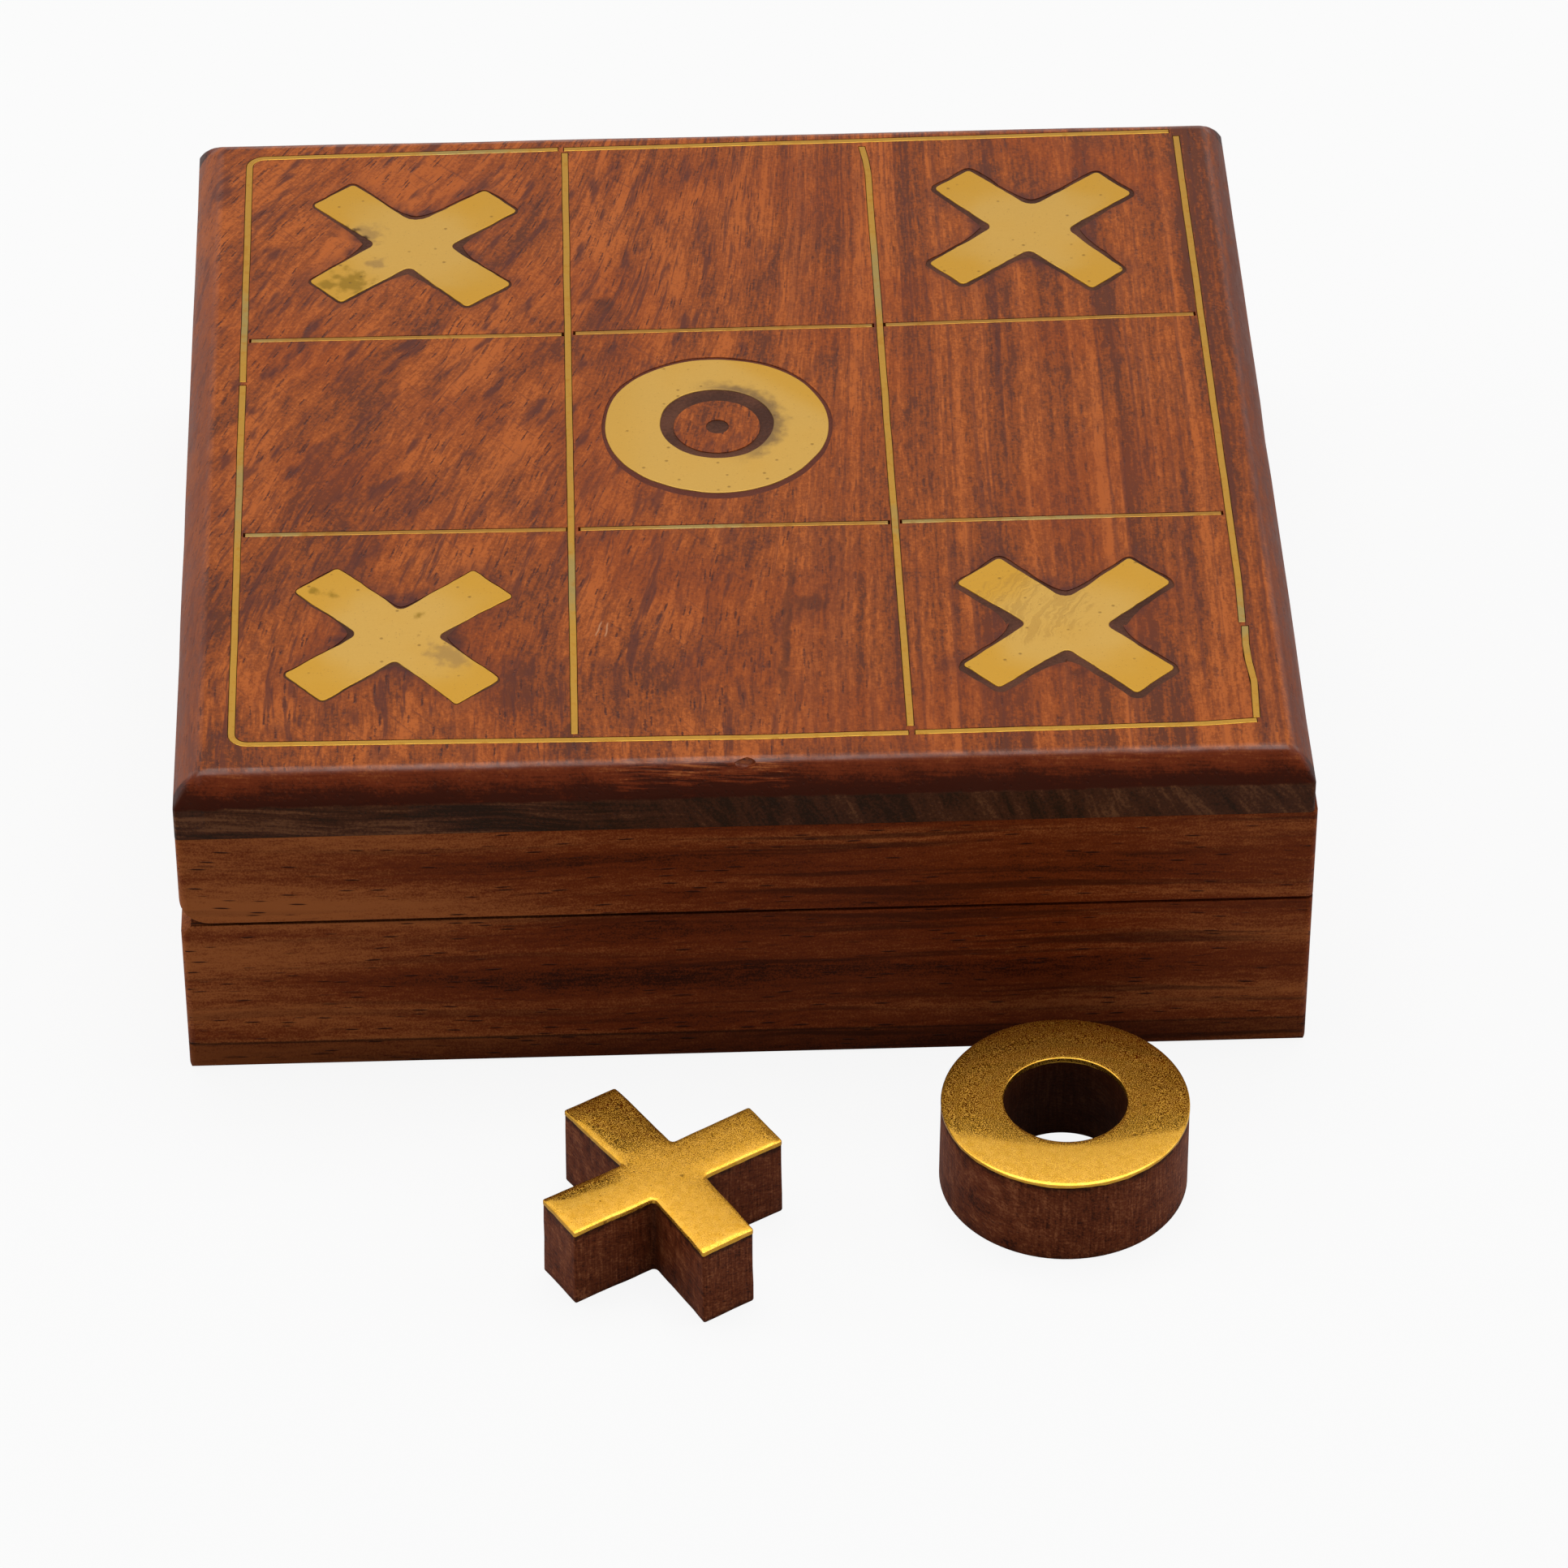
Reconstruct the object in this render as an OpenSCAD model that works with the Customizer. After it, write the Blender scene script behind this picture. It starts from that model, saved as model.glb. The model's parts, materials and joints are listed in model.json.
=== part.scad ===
// Tic-tac-toe box: a hinged hardwood box with a brass-inlaid lid, a nine-cell base
// and nine playing pieces, each a wooden body under a brass plate.
// Millimetres, +Z up. The origin is the centre of the box's underside. -Y is the front,
// the hinges are on the -X side, and the lid opens from the +X side.

/* [Box] */
// Width of the box, across the hinge line
box_w = 127; // [115:1:145]
// Depth of the box, along the hinge line
box_d = 127; // [115:1:145]
// Thickness of the base's walls and of the lid's rails
wall_t = 9.5; // [9:0.5:12]
// Height of the base, from the table to its rim
base_h = 21.4; // [20:0.2:30]
// Thickness of the bottom panel
bottom_t = 3.8; // [3:0.1:6]
// Open joint between the closed lid and the base's rim
lid_gap = 0.3; // [0.2:0.05:0.5]
// Height of the lid's rails
rail_h = 12.3; // [10:0.1:18]
// Thickness of the lid's board
board_t = 7.4; // [6:0.1:10]

/* [Edges] */
// How far the board's bevel reaches in from its edge
bevel_in = 2.8; // [2:0.1:3.6]
// How far the board's bevel drops below its top
bevel_drop = 3.3; // [2:0.1:4]
// Radius that softens the top of the bevel
crown_r = 3; // [1:0.1:4]
// Radius of the board's upright corners
board_corner_r = 1.8; // [1:0.1:3]
// How far the board stays inside the rail on the right
board_inset = 0.4; // [0:0.1:1]
// Radius of the upright corners of the walls and rails
wall_corner_r = 0.8; // [0.4:0.1:2]
// Radius of the lid's lower edge on the hinge side
hinge_edge_r = 3.5; // [2.5:0.1:4]
// Bevel on the base's rim on the hinge side
rim_bevel = 1.2; // [0.8:0.1:1.6]
// Radius of the bottom panel's lower edge
foot_r = 1; // [0.5:0.1:2]

/* [Cells] */
// Thickness of the dividers
divider_t = 3; // [2:0.5:4]
// Height of the dividers above the bottom panel
divider_h = 10; // [6:0.5:14]
// How deep the dividers are housed in the walls
housing_deep = 2; // [1:0.5:3]
// Clearance in the dividers' housings and laps
lap_fit = 0.1; // [0.05:0.05:0.2]

/* [Hinges] */
// Length of a hinge
hinge_l = 18; // [14:1:24]
// From the box's corner to the middle of the nearest hinge
hinge_from_corner = 28; // [24:1:40]
// Radius of the knuckles
knuckle_r = 1.25; // [1.1:0.05:1.5]
// Thickness of a leaf
leaf_t = 0.8; // [0.6:0.05:0.9]
// From the pin's axis to a leaf's inner edge
leaf_w = 6.6; // [6:0.1:7]
// Space between the two leaves when the lid is shut
leaf_gap = 0.2; // [0.1:0.05:0.3]
// Radius of the hinge pin
pin_r = 0.6; // [0.5:0.05:0.7]
// Radial clearance of the pin in the knuckles
pin_fit = 0.05; // [0.03:0.01:0.1]
// Radius of the pin's peened heads
pin_head_r = 0.95; // [0.8:0.05:1.1]
// Thickness of the pin's peened heads
pin_head_t = 0.4; // [0.2:0.1:0.6]
// Clearance between neighbouring knuckles, and round them in the wood
knuckle_fit = 0.15; // [0.1:0.05:0.3]
// Clearance round a leaf in its mortise
leaf_fit = 0.05; // [0.02:0.01:0.1]
// From a hinge's middle to each of its screws
screw_spread = 5.4; // [4:0.1:6]
// From the pin's axis to the screws
screw_in = 4.2; // [3.8:0.1:4.6]
// Radius of a screw's head
screw_head_r = 1.3; // [1.1:0.05:1.5]
// Radius of a screw's shank
screw_r = 0.6; // [0.5:0.05:0.8]
// Length of a screw
screw_l = 6; // [4:0.5:8]
// Clearance round a screw
screw_fit = 0.05; // [0.02:0.01:0.1]

/* [Inlaid lines] */
// Width of the strips in the border and of the two long lines
line_w = 0.9; // [0.6:0.1:1.4]
// Width of the short strips between them
short_line_w = 0.7; // [0.5:0.1:1.2]
// Depth of the brass strips in the board
line_deep = 2.5; // [1.5:0.1:4]
// From the box's left and right faces to the border line
side_margin = 6.5; // [5.5:0.1:8]
// From the box's front to the border line
front_margin = 7.1; // [5.5:0.1:9]
// From the box's back to the border line
back_margin = 4.9; // [4.5:0.1:8]
// Width of the middle column between the two long lines
middle_col_w = 37; // [34:0.5:42]
// Radius of the bends in the border strip
bend_r = 1.8; // [1:0.1:3]
// Gap between a strip's end and the line that it meets
tee_gap = 0.35; // [0.2:0.05:0.6]
// Gap between the ends of two strips in the border
butt_gap = 0.7; // [0.3:0.1:1]
// From the back border line to the break in its left side
left_break = 47.2; // [30:0.1:60]
// From the front border line to the break in its right side
right_break = 17.6; // [8:0.1:30]
// Clearance of the brass in the grooves cut for it
groove_fit = 0.02; // [0.01:0.01:0.05]

/* [Inlaid figures] */
// Thickness of the brass sheet let into the board
sheet_t = 1.5; // [1:0.1:2.5]
// Length of each bar of an inlaid cross
inlay_cross_l = 28; // [24:0.5:30]
// Width of each bar of an inlaid cross
inlay_cross_w = 6.5; // [5:0.1:8]
// Outer radius of the inlaid ring
inlay_ring_r = 13.4; // [12:0.1:15]
// Inner radius of the inlaid ring
inlay_ring_hole_r = 6.7; // [6:0.1:8]
// Radius of the wood left standing inside the ring
island_r = 4.9; // [4:0.1:5.5]
// Width of the dark filler round the figures
filler_w = 0.5; // [0.3:0.1:0.8]
// Radius of the plugged pilot hole in the island
pilot_r = 0.9; // [0.5:0.1:1.2]

/* [Playing pieces] */
// Length of each bar of a cross
cross_l = 27.7; // [24:0.1:29]
// Width of each bar of a cross
cross_w = 6.8; // [5:0.1:8]
// Height of a cross's wooden body
cross_body_h = 9.6; // [8:0.1:11]
// Outer radius of a ring's wooden body
ring_r = 13.9; // [12:0.1:14.5]
// Radius of the hole in a ring
ring_hole_r = 6.9; // [5:0.1:8]
// Height of a ring's wooden body
ring_body_h = 10.4; // [8:0.1:11]
// Thickness of the brass plate on a piece
plate_t = 1; // [0.6:0.1:1.5]
// How far the plate stays inside the body's edge
plate_inset = 0.15; // [0:0.05:0.4]
// Radius of the corners of the crosses' tips
tip_r = 0.5; // [0.3:0.1:1]
// Radius in the inner corners of the crosses
root_r = 1; // [0.5:0.1:1.5]

/* [Pieces on the table] */
// Sideways place of the cross on the table
table_cross_x = -10.4; // [-50:0.1:2]
// From the box's front to the middle of the cross on the table
table_cross_ahead = 30.4; // [20:0.1:60]
// Turn of the cross on the table
table_cross_turn = 31.6; // [0:0.1:90]
// Sideways place of the ring on the table
table_ring_x = 34.4; // [22:0.1:60]
// From the box's front to the middle of the ring on the table
table_ring_ahead = 21.5; // [16:0.1:60]

/* [Hidden] */
$fn = 64;
STRIPS = [
    "border_back_left", "border_front_left", "border_front_right",
    "border_right_front", "border_right_back", "border_back_right",
    "long_line_left", "long_line_right",
    "short_line_front_left", "short_line_front_middle", "short_line_front_right",
    "short_line_back_left", "short_line_back_middle", "short_line_back_right"
];
CORNERS = ["back_left", "back_right", "front_left", "front_right"];
CROSSES = [1 : 5];
RINGS = [1 : 4];

// Heights of the closed box's joints
rail_z = base_h + lid_gap;
board_z = rail_z + rail_h;
top_z = board_z + board_t;

// The hollow inside the walls, and the places of the dividers in it
inner_w = box_w - 2 * wall_t;
inner_d = box_d - 2 * wall_t;
cell_w = (inner_w - 2 * divider_t) / 3;
cell_d = (inner_d - 2 * divider_t) / 3;
divider_x = (cell_w + divider_t) / 2;
divider_y = (cell_d + divider_t) / 2;

// The hinge line: the knuckles are flush with the box's left face
hinge_x = -box_w / 2 + knuckle_r;
hinge_z = base_h + lid_gap / 2;
hinge_y = box_d / 2 - hinge_from_corner;
knuckle_l = (hinge_l - 2 * knuckle_fit) / 3;
screw_head_h = screw_head_r - screw_r;
screw_slot_w = 0.35;
screw_slot_deep = 0.3;

// The inlaid border and the lines inside it
left_x = -box_w / 2 + side_margin;
right_x = box_w / 2 - side_margin;
front_y = -box_d / 2 + front_margin;
back_y = box_d / 2 - back_margin;
col_x = [-middle_col_w / 2, middle_col_w / 2];
row_d = (back_y - front_y) / 3;
row_y = [front_y + row_d, front_y + 2 * row_d];
tee = line_w / 2 + tee_gap;
left_break_y = back_y - left_break;
right_break_y = front_y + right_break;

// Middles of the corner squares, and how far off them each figure was set by hand
corner_x = (right_x + col_x[1]) / 2;
corner_y_back = (back_y + row_y[1]) / 2;
corner_y_front = (front_y + row_y[0]) / 2;
off_back_left = [0.6, -0.5];
off_back_right = [0, 0.2];
off_front_left = [-0.9, 0.1];
off_front_right = [-0.8, -0.7];
off_ring = [-1.1, -0.3];
inlay_ring_at = off_ring + [0, (front_y + back_y) / 2];

// Turns of the inlaid crosses from lying square to the box
turn_back_left = 40.6;
turn_back_right = 40;
turn_front_left = 41;
turn_front_right = 42.1;

// Cells of the stored pieces, as column and row, and the turn of each stored cross
cross_cells = [["left", "back"], ["right", "back"], ["middle", "middle"], ["left", "front"]];
cross_turns = [47, 41, 49, 44];
ring_cells = [["middle", "back"], ["left", "middle"], ["right", "middle"]];

// How far a cut runs past the face that it opens, and the steps of a rounded edge
past = 1;
arc_steps = 12;

wood = "#8a4524";
light_wood = "#74401f";
brass = "#d2a548";
dark_filler = "#38221a";

// Outlines

function arc(at, r, from, to) =
    [for (k = [0 : arc_steps]) let (a = from + (to - from) * k / arc_steps) at + r * [cos(a), sin(a)]];

function mirrored(points) = [for (k = [len(points) - 1 : -1 : 0]) [-points[k][0], points[k][1]]];

// Cross-section of the lid's board over a width: bevelled, with a softened crown
function board_section(w) =
    let (slope = atan2(bevel_drop, bevel_in),
         crown_x = w / 2 - bevel_in - crown_r * tan(slope / 2),
         edge = concat([[w / 2, board_z], [w / 2, top_z - bevel_drop]],
                       arc([crown_x, top_z - crown_r], crown_r, 90 - slope, 90)))
    concat(edge, mirrored(edge));

// Cross-section of the bottom panel over a width: its lower edge is rounded
function panel_section(w) =
    let (edge = concat(arc([w / 2 - foot_r, foot_r], foot_r, -90, 0), [[w / 2, bottom_t]]))
    concat(edge, mirrored(edge));

module rounded_square_2d(w, d, r) {
    square([w - 2 * r, d], center = true);
    square([w, d - 2 * r], center = true);
    for (x = [-1, 1], y = [-1, 1])
        translate([x * (w / 2 - r), y * (d / 2 - r)]) circle(r);
}

// Two crossed bars along X and Y, with small radii at the tips and in the inner corners
module cross_2d(l, w, tip, root) {
    rounded_square_2d(l, w, tip);
    rounded_square_2d(w, l, tip);
    for (turn = [0 : 90 : 270])
        rotate(turn) translate([w / 2, w / 2]) difference() {
            square(root);
            translate([root, root]) circle(root);
        }
}

module ring_2d(outer, inner) {
    difference() {
        circle(outer);
        circle(inner);
    }
}

// A straight run of inlaid strip from a to b, grown by g on all sides
module run_2d(a, b, g, w = line_w) {
    v = b - a;
    translate(a) rotate(atan2(v[1], v[0])) translate([-g, -w / 2 - g])
        square([norm(v) + 2 * g, w + 2 * g]);
}

// A quarter bend at a corner of the border: sx and sy point from the corner to the bend's centre
module bend_2d(corner, sx, sy, g) {
    reach = bend_r + line_w;
    translate(corner + bend_r * [sx, sy]) intersection() {
        ring_2d(bend_r + line_w / 2 + g, bend_r - line_w / 2 - g);
        translate([sx > 0 ? -reach : 0, sy > 0 ? -reach : 0]) square(reach);
    }
}

// Slabs seen from the front or the side, pushed through the whole box

module along_y(l) {
    rotate([90, 0, 0]) linear_extrude(height = l, center = true) children();
}

module along_x(l) {
    rotate([90, 0, 90]) linear_extrude(height = l, center = true) children();
}

// The walls

// Footprint of one side of the box. Front and back run the full width, and the others fit between.
module side_2d(side) {
    y = (box_d - wall_t) / 2;
    x = (box_w - wall_t) / 2;
    intersection() {
        rounded_square_2d(box_w, box_d, wall_corner_r);
        if (side == "front") translate([0, -y]) square([box_w, wall_t], center = true);
        if (side == "back") translate([0, y]) square([box_w, wall_t], center = true);
        if (side == "left") translate([-x, 0]) square([wall_t, inner_d], center = true);
        if (side == "right") translate([x, 0]) square([wall_t, inner_d], center = true);
    }
}

// The base's walls seen from the front, with the rim bevelled on the hinge side
module base_front_view_2d() {
    polygon([[-box_w / 2, bottom_t], [box_w / 2, bottom_t], [box_w / 2, base_h],
             [-box_w / 2 + rim_bevel, base_h], [-box_w / 2, base_h - rim_bevel]]);
}

// The lid's rails seen from the front, with the lower edge rounded on the hinge side
module rail_front_view_2d() {
    polygon(concat([[box_w / 2, rail_z], [box_w / 2, board_z], [-box_w / 2, board_z]],
                   arc([-box_w / 2 + hinge_edge_r, rail_z + hinge_edge_r], hinge_edge_r, 180, 270)));
}

module base_wall(side) {
    color(light_wood) difference() {
        intersection() {
            translate([0, 0, bottom_t]) linear_extrude(height = base_h - bottom_t) side_2d(side);
            along_y(box_d + 2 * past) base_front_view_2d();
        }
        divider_housings();
        if (side == "left") hinge_mortises(false);
    }
}

module lid_rail(side) {
    color(light_wood) difference() {
        intersection() {
            translate([0, 0, rail_z]) linear_extrude(height = rail_h) side_2d(side);
            along_y(box_d + 2 * past) rail_front_view_2d();
        }
        if (side == "left") hinge_mortises(true);
    }
}

module bottom_panel() {
    color(light_wood) intersection() {
        along_y(box_d) polygon(panel_section(box_w));
        along_x(box_w) polygon(panel_section(box_d));
        linear_extrude(height = bottom_t) rounded_square_2d(box_w, box_d, wall_corner_r);
    }
}

// The dividers

module divider_bar(across, g = 0) {
    l = (across ? inner_w : inner_d) + 2 * housing_deep + 2 * g;
    size = across ? [l, divider_t + 2 * g, divider_h + g] : [divider_t + 2 * g, l, divider_h + g];
    translate([-size[0] / 2, -size[1] / 2, bottom_t]) cube(size);
}

module divider_housings() {
    for (s = [-1, 1]) {
        translate([0, s * divider_y, 0]) divider_bar(true, lap_fit);
        translate([s * divider_x, 0, 0]) divider_bar(false, lap_fit);
    }
}

// Dividers that run left to right are notched from above, and the other two from below
module divider_across(s) {
    color(light_wood) difference() {
        translate([0, s * divider_y, 0]) divider_bar(true);
        for (x = [-divider_x, divider_x])
            translate([x, s * divider_y, bottom_t + divider_h]) lap_notch();
    }
}

module divider_along(s) {
    color(light_wood) difference() {
        translate([s * divider_x, 0, 0]) divider_bar(false);
        for (y = [-divider_y, divider_y])
            translate([s * divider_x, y, bottom_t]) lap_notch();
    }
}

module lap_notch() {
    w = divider_t + 2 * lap_fit;
    cube([w, w, divider_h], center = true);
}

// The hinges

module at_hinge(s) {
    translate([hinge_x, s * hinge_y, hinge_z]) children();
}

// A cylinder along the hinge line, centred at y
module barrel(r, l, y = 0) {
    translate([0, y, 0]) rotate([90, 0, 0]) cylinder(r = r, h = l, center = true);
}

// A countersunk screw with its head's face at z = 0, driven down
module screw(g = 0) {
    translate([0, 0, -screw_head_h - g])
        cylinder(r1 = screw_r + g, r2 = screw_head_r + g, h = screw_head_h + g);
    translate([0, 0, -screw_l - g]) cylinder(r = screw_r + g, h = screw_l);
}

module slotted_screw() {
    difference() {
        screw();
        cube([2 * (screw_head_r + past), screw_slot_w, 2 * screw_slot_deep], center = true);
    }
}

// Screws of one leaf. up is 1 in the lid, where they are driven upwards, and -1 in the base
module at_screws(up) {
    for (s = [-1, 1])
        translate([screw_in, s * screw_spread, up * leaf_gap / 2])
            rotate([up > 0 ? 180 : 0, 0, 0]) children();
}

// A leaf with its knuckles: the lid's leaf has the middle one, and the base's leaf the outer two
module hinge_leaf(up) {
    outer = knuckle_l + knuckle_fit;
    own = up > 0 ? [0] : [-outer, outer];
    other = up > 0 ? [-outer, outer] : [0];
    color(brass) difference() {
        union() {
            translate([0, -hinge_l / 2, up > 0 ? leaf_gap / 2 : -leaf_gap / 2 - leaf_t])
                cube([leaf_w, hinge_l, leaf_t]);
            for (y = own) barrel(knuckle_r, knuckle_l, y);
        }
        for (y = other) barrel(knuckle_r + knuckle_fit, knuckle_l + 2 * knuckle_fit, y);
        barrel(pin_r + pin_fit, hinge_l + 2 * past);
        at_screws(up) screw(screw_fit);
    }
}

// Room cut in the wood for both hinges' leaves, knuckles, pin heads and screws
module hinge_mortises(in_lid) {
    up = in_lid ? 1 : -1;
    deep = leaf_gap / 2 + leaf_t + leaf_fit;
    for (s = [-1, 1]) at_hinge(s) {
        translate([-2 * knuckle_r, -hinge_l / 2 - leaf_fit, in_lid ? 0 : -deep])
            cube([leaf_w + 2 * knuckle_r + leaf_fit, hinge_l + 2 * leaf_fit, deep]);
        barrel(knuckle_r + knuckle_fit, hinge_l + 2 * (pin_head_t + knuckle_fit));
        at_screws(up) screw(screw_fit);
    }
}

module hinge_pins() {
    color(brass) for (s = [-1, 1]) at_hinge(s) {
        barrel(pin_r, hinge_l + pin_head_t);
        for (e = [-1, 1]) barrel(pin_head_r, pin_head_t, e * (hinge_l + pin_head_t) / 2);
    }
}

module hinge_screws(up) {
    color(brass) for (s = [-1, 1]) at_hinge(s) at_screws(up) slotted_screw();
}

// The inlay

// Outline of one straight or bent strip by its node's name, grown by g
module strip_2d(name, g = 0) {
    if (name == "border_back_left") {
        run_2d([col_x[0] - butt_gap, back_y], [left_x + bend_r, back_y], g);
        bend_2d([left_x, back_y], 1, -1, g);
        run_2d([left_x, back_y - bend_r], [left_x, left_break_y + butt_gap / 2], g);
    }
    if (name == "border_front_left") {
        run_2d([left_x, left_break_y - butt_gap / 2], [left_x, front_y + bend_r], g);
        bend_2d([left_x, front_y], 1, 1, g);
        run_2d([left_x + bend_r, front_y], [col_x[1] - butt_gap / 2, front_y], g);
    }
    if (name == "border_front_right")
        run_2d([col_x[1] + butt_gap / 2, front_y], [right_x, front_y], g);
    if (name == "border_right_front")
        run_2d([right_x, front_y + tee], [right_x, right_break_y - butt_gap / 2], g);
    if (name == "border_right_back")
        run_2d([right_x, right_break_y + butt_gap / 2], [right_x, back_y], g);
    if (name == "border_back_right")
        run_2d([col_x[0], back_y], [right_x - tee, back_y], g);
    if (name == "long_line_left") run_2d([col_x[0], front_y + tee], [col_x[0], back_y - tee], g);
    if (name == "long_line_right") run_2d([col_x[1], front_y + tee], [col_x[1], back_y - tee], g);
    if (name == "short_line_front_left") short_line_2d(left_x, col_x[0], row_y[0], g);
    if (name == "short_line_front_middle") short_line_2d(col_x[0], col_x[1], row_y[0], g);
    if (name == "short_line_front_right") short_line_2d(col_x[1], right_x, row_y[0], g);
    if (name == "short_line_back_left") short_line_2d(left_x, col_x[0], row_y[1], g);
    if (name == "short_line_back_middle") short_line_2d(col_x[0], col_x[1], row_y[1], g);
    if (name == "short_line_back_right") short_line_2d(col_x[1], right_x, row_y[1], g);
}

module short_line_2d(from_x, to_x, y, g) {
    run_2d([from_x + tee, y], [to_x - tee, y], g, short_line_w);
}

module strip(name) {
    color(brass) translate([0, 0, top_z - line_deep]) linear_extrude(height = line_deep) strip_2d(name);
}

module grooves() {
    translate([0, 0, top_z - line_deep - groove_fit]) linear_extrude(height = line_deep + groove_fit + past)
        for (name = STRIPS) strip_2d(name, groove_fit);
}

// Places a child outline where one of the crosses is inlaid
module at_inlaid_cross(place) {
    if (place == "back_left")
        translate([-corner_x, corner_y_back] + off_back_left) rotate(turn_back_left) children();
    if (place == "back_right")
        translate([corner_x, corner_y_back] + off_back_right) rotate(turn_back_right) children();
    if (place == "front_left")
        translate([-corner_x, corner_y_front] + off_front_left) rotate(turn_front_left) children();
    if (place == "front_right")
        translate([corner_x, corner_y_front] + off_front_right) rotate(turn_front_right) children();
}

module at_every_inlaid_cross() {
    for (place = CORNERS) at_inlaid_cross(place) children();
}

module inlay_cross_2d() {
    cross_2d(inlay_cross_l, inlay_cross_w, tip_r, root_r);
}

module cross_pocket_2d() {
    cross_2d(inlay_cross_l + 2 * filler_w, inlay_cross_w + 2 * filler_w, tip_r, root_r);
}

module sheet() {
    translate([0, 0, top_z - sheet_t]) linear_extrude(height = sheet_t) children();
}

module inlay_cross(place) {
    color(brass) sheet() at_inlaid_cross(place) inlay_cross_2d();
}

module inlay_ring() {
    color(brass) sheet() translate(inlay_ring_at) ring_2d(inlay_ring_r, inlay_ring_hole_r);
}

// The dark filler fills each pocket up to the brass
module inlay_filler() {
    color(dark_filler) {
        sheet() at_every_inlaid_cross() difference() {
            cross_pocket_2d();
            inlay_cross_2d();
        }
        sheet() translate(inlay_ring_at) {
            ring_2d(inlay_ring_r + filler_w, inlay_ring_r);
            ring_2d(inlay_ring_hole_r, island_r);
            circle(pilot_r);
        }
    }
}

module pockets() {
    translate([0, 0, top_z - sheet_t]) linear_extrude(height = sheet_t + past) {
        at_every_inlaid_cross() cross_pocket_2d();
        translate(inlay_ring_at) {
            ring_2d(inlay_ring_r + filler_w, island_r);
            circle(pilot_r);
        }
    }
}

module lid_board() {
    w = box_w - board_inset;
    color(wood) difference() {
        translate([-board_inset / 2, 0, 0]) intersection() {
            along_y(box_d) polygon(board_section(w));
            along_x(w) polygon(board_section(box_d));
            translate([0, 0, board_z]) linear_extrude(height = board_t)
                rounded_square_2d(w, box_d, board_corner_r);
        }
        grooves();
        pockets();
    }
}

// The playing pieces

// Which way a column or a row lies from the middle one
function way(name) = name == "left" || name == "front" ? -1 : name == "middle" ? 0 : 1;

function cell_at(cell) =
    [way(cell[0]) * (cell_w + divider_t), way(cell[1]) * (cell_d + divider_t), bottom_t];

// Piece 1 of each kind lies on the table, and the others are in their cells
module at_cross(n) {
    if (n == 1)
        translate([table_cross_x, -box_d / 2 - table_cross_ahead, 0]) rotate(table_cross_turn) children();
    else
        translate(cell_at(cross_cells[n - 2])) rotate(cross_turns[n - 2]) children();
}

module at_ring(n) {
    if (n == 1)
        translate([table_ring_x, -box_d / 2 - table_ring_ahead, 0]) children();
    else
        translate(cell_at(ring_cells[n - 2])) children();
}

module cross_body(n) {
    color(light_wood) at_cross(n) linear_extrude(height = cross_body_h)
        cross_2d(cross_l, cross_w, tip_r, root_r);
}

module cross_plate(n) {
    color(brass) at_cross(n) translate([0, 0, cross_body_h]) linear_extrude(height = plate_t)
        cross_2d(cross_l - 2 * plate_inset, cross_w - 2 * plate_inset, tip_r, root_r);
}

module ring_body(n) {
    color(light_wood) at_ring(n) linear_extrude(height = ring_body_h) ring_2d(ring_r, ring_hole_r);
}

module ring_plate(n) {
    color(brass) at_ring(n) translate([0, 0, ring_body_h]) linear_extrude(height = plate_t)
        ring_2d(ring_r - plate_inset, ring_hole_r);
}

base_wall("front");  // base_front_wall
base_wall("back");  // base_back_wall
base_wall("left");  // base_left_wall
base_wall("right");  // base_right_wall
bottom_panel();
divider_across(-1);  // divider_front
divider_across(1);  // divider_back
divider_along(-1);  // divider_left
divider_along(1);  // divider_right
at_hinge(-1) hinge_leaf(-1);  // hinge_base_leaf_front
at_hinge(1) hinge_leaf(-1);  // hinge_base_leaf_back
hinge_pins();
hinge_screws(-1);  // base_hinge_screws
lid_board();
lid_rail("front");  // lid_front_rail
lid_rail("back");  // lid_back_rail
lid_rail("left");  // lid_left_rail
lid_rail("right");  // lid_right_rail
at_hinge(-1) hinge_leaf(1);  // hinge_lid_leaf_front
at_hinge(1) hinge_leaf(1);  // hinge_lid_leaf_back
hinge_screws(1);  // lid_hinge_screws
for (name = STRIPS)
    strip(name);
for (place = CORNERS)
    inlay_cross(place);
inlay_ring();
inlay_filler();
for (n = CROSSES) {
    cross_body(n);
    cross_plate(n);
}
for (n = RINGS) {
    ring_body(n);
    ring_plate(n);
}
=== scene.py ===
# %% [markdown]
# A tic-tac-toe box
#
# The object is a square hardwood box. Its lid is the playing board: brass strips are let into it as the
# lines, and brass crosses and a ring as ornament. Two of the playing pieces lie in front of the box and
# seven are kept inside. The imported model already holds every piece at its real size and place, so this
# lesson only dresses it: it remakes the pieces that a workshop leaves less than perfect, and gives each
# surface a finish.

# %% Load the model
import json
import math

import bmesh
import bpy
from mathutils import Matrix, Vector, noise


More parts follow.
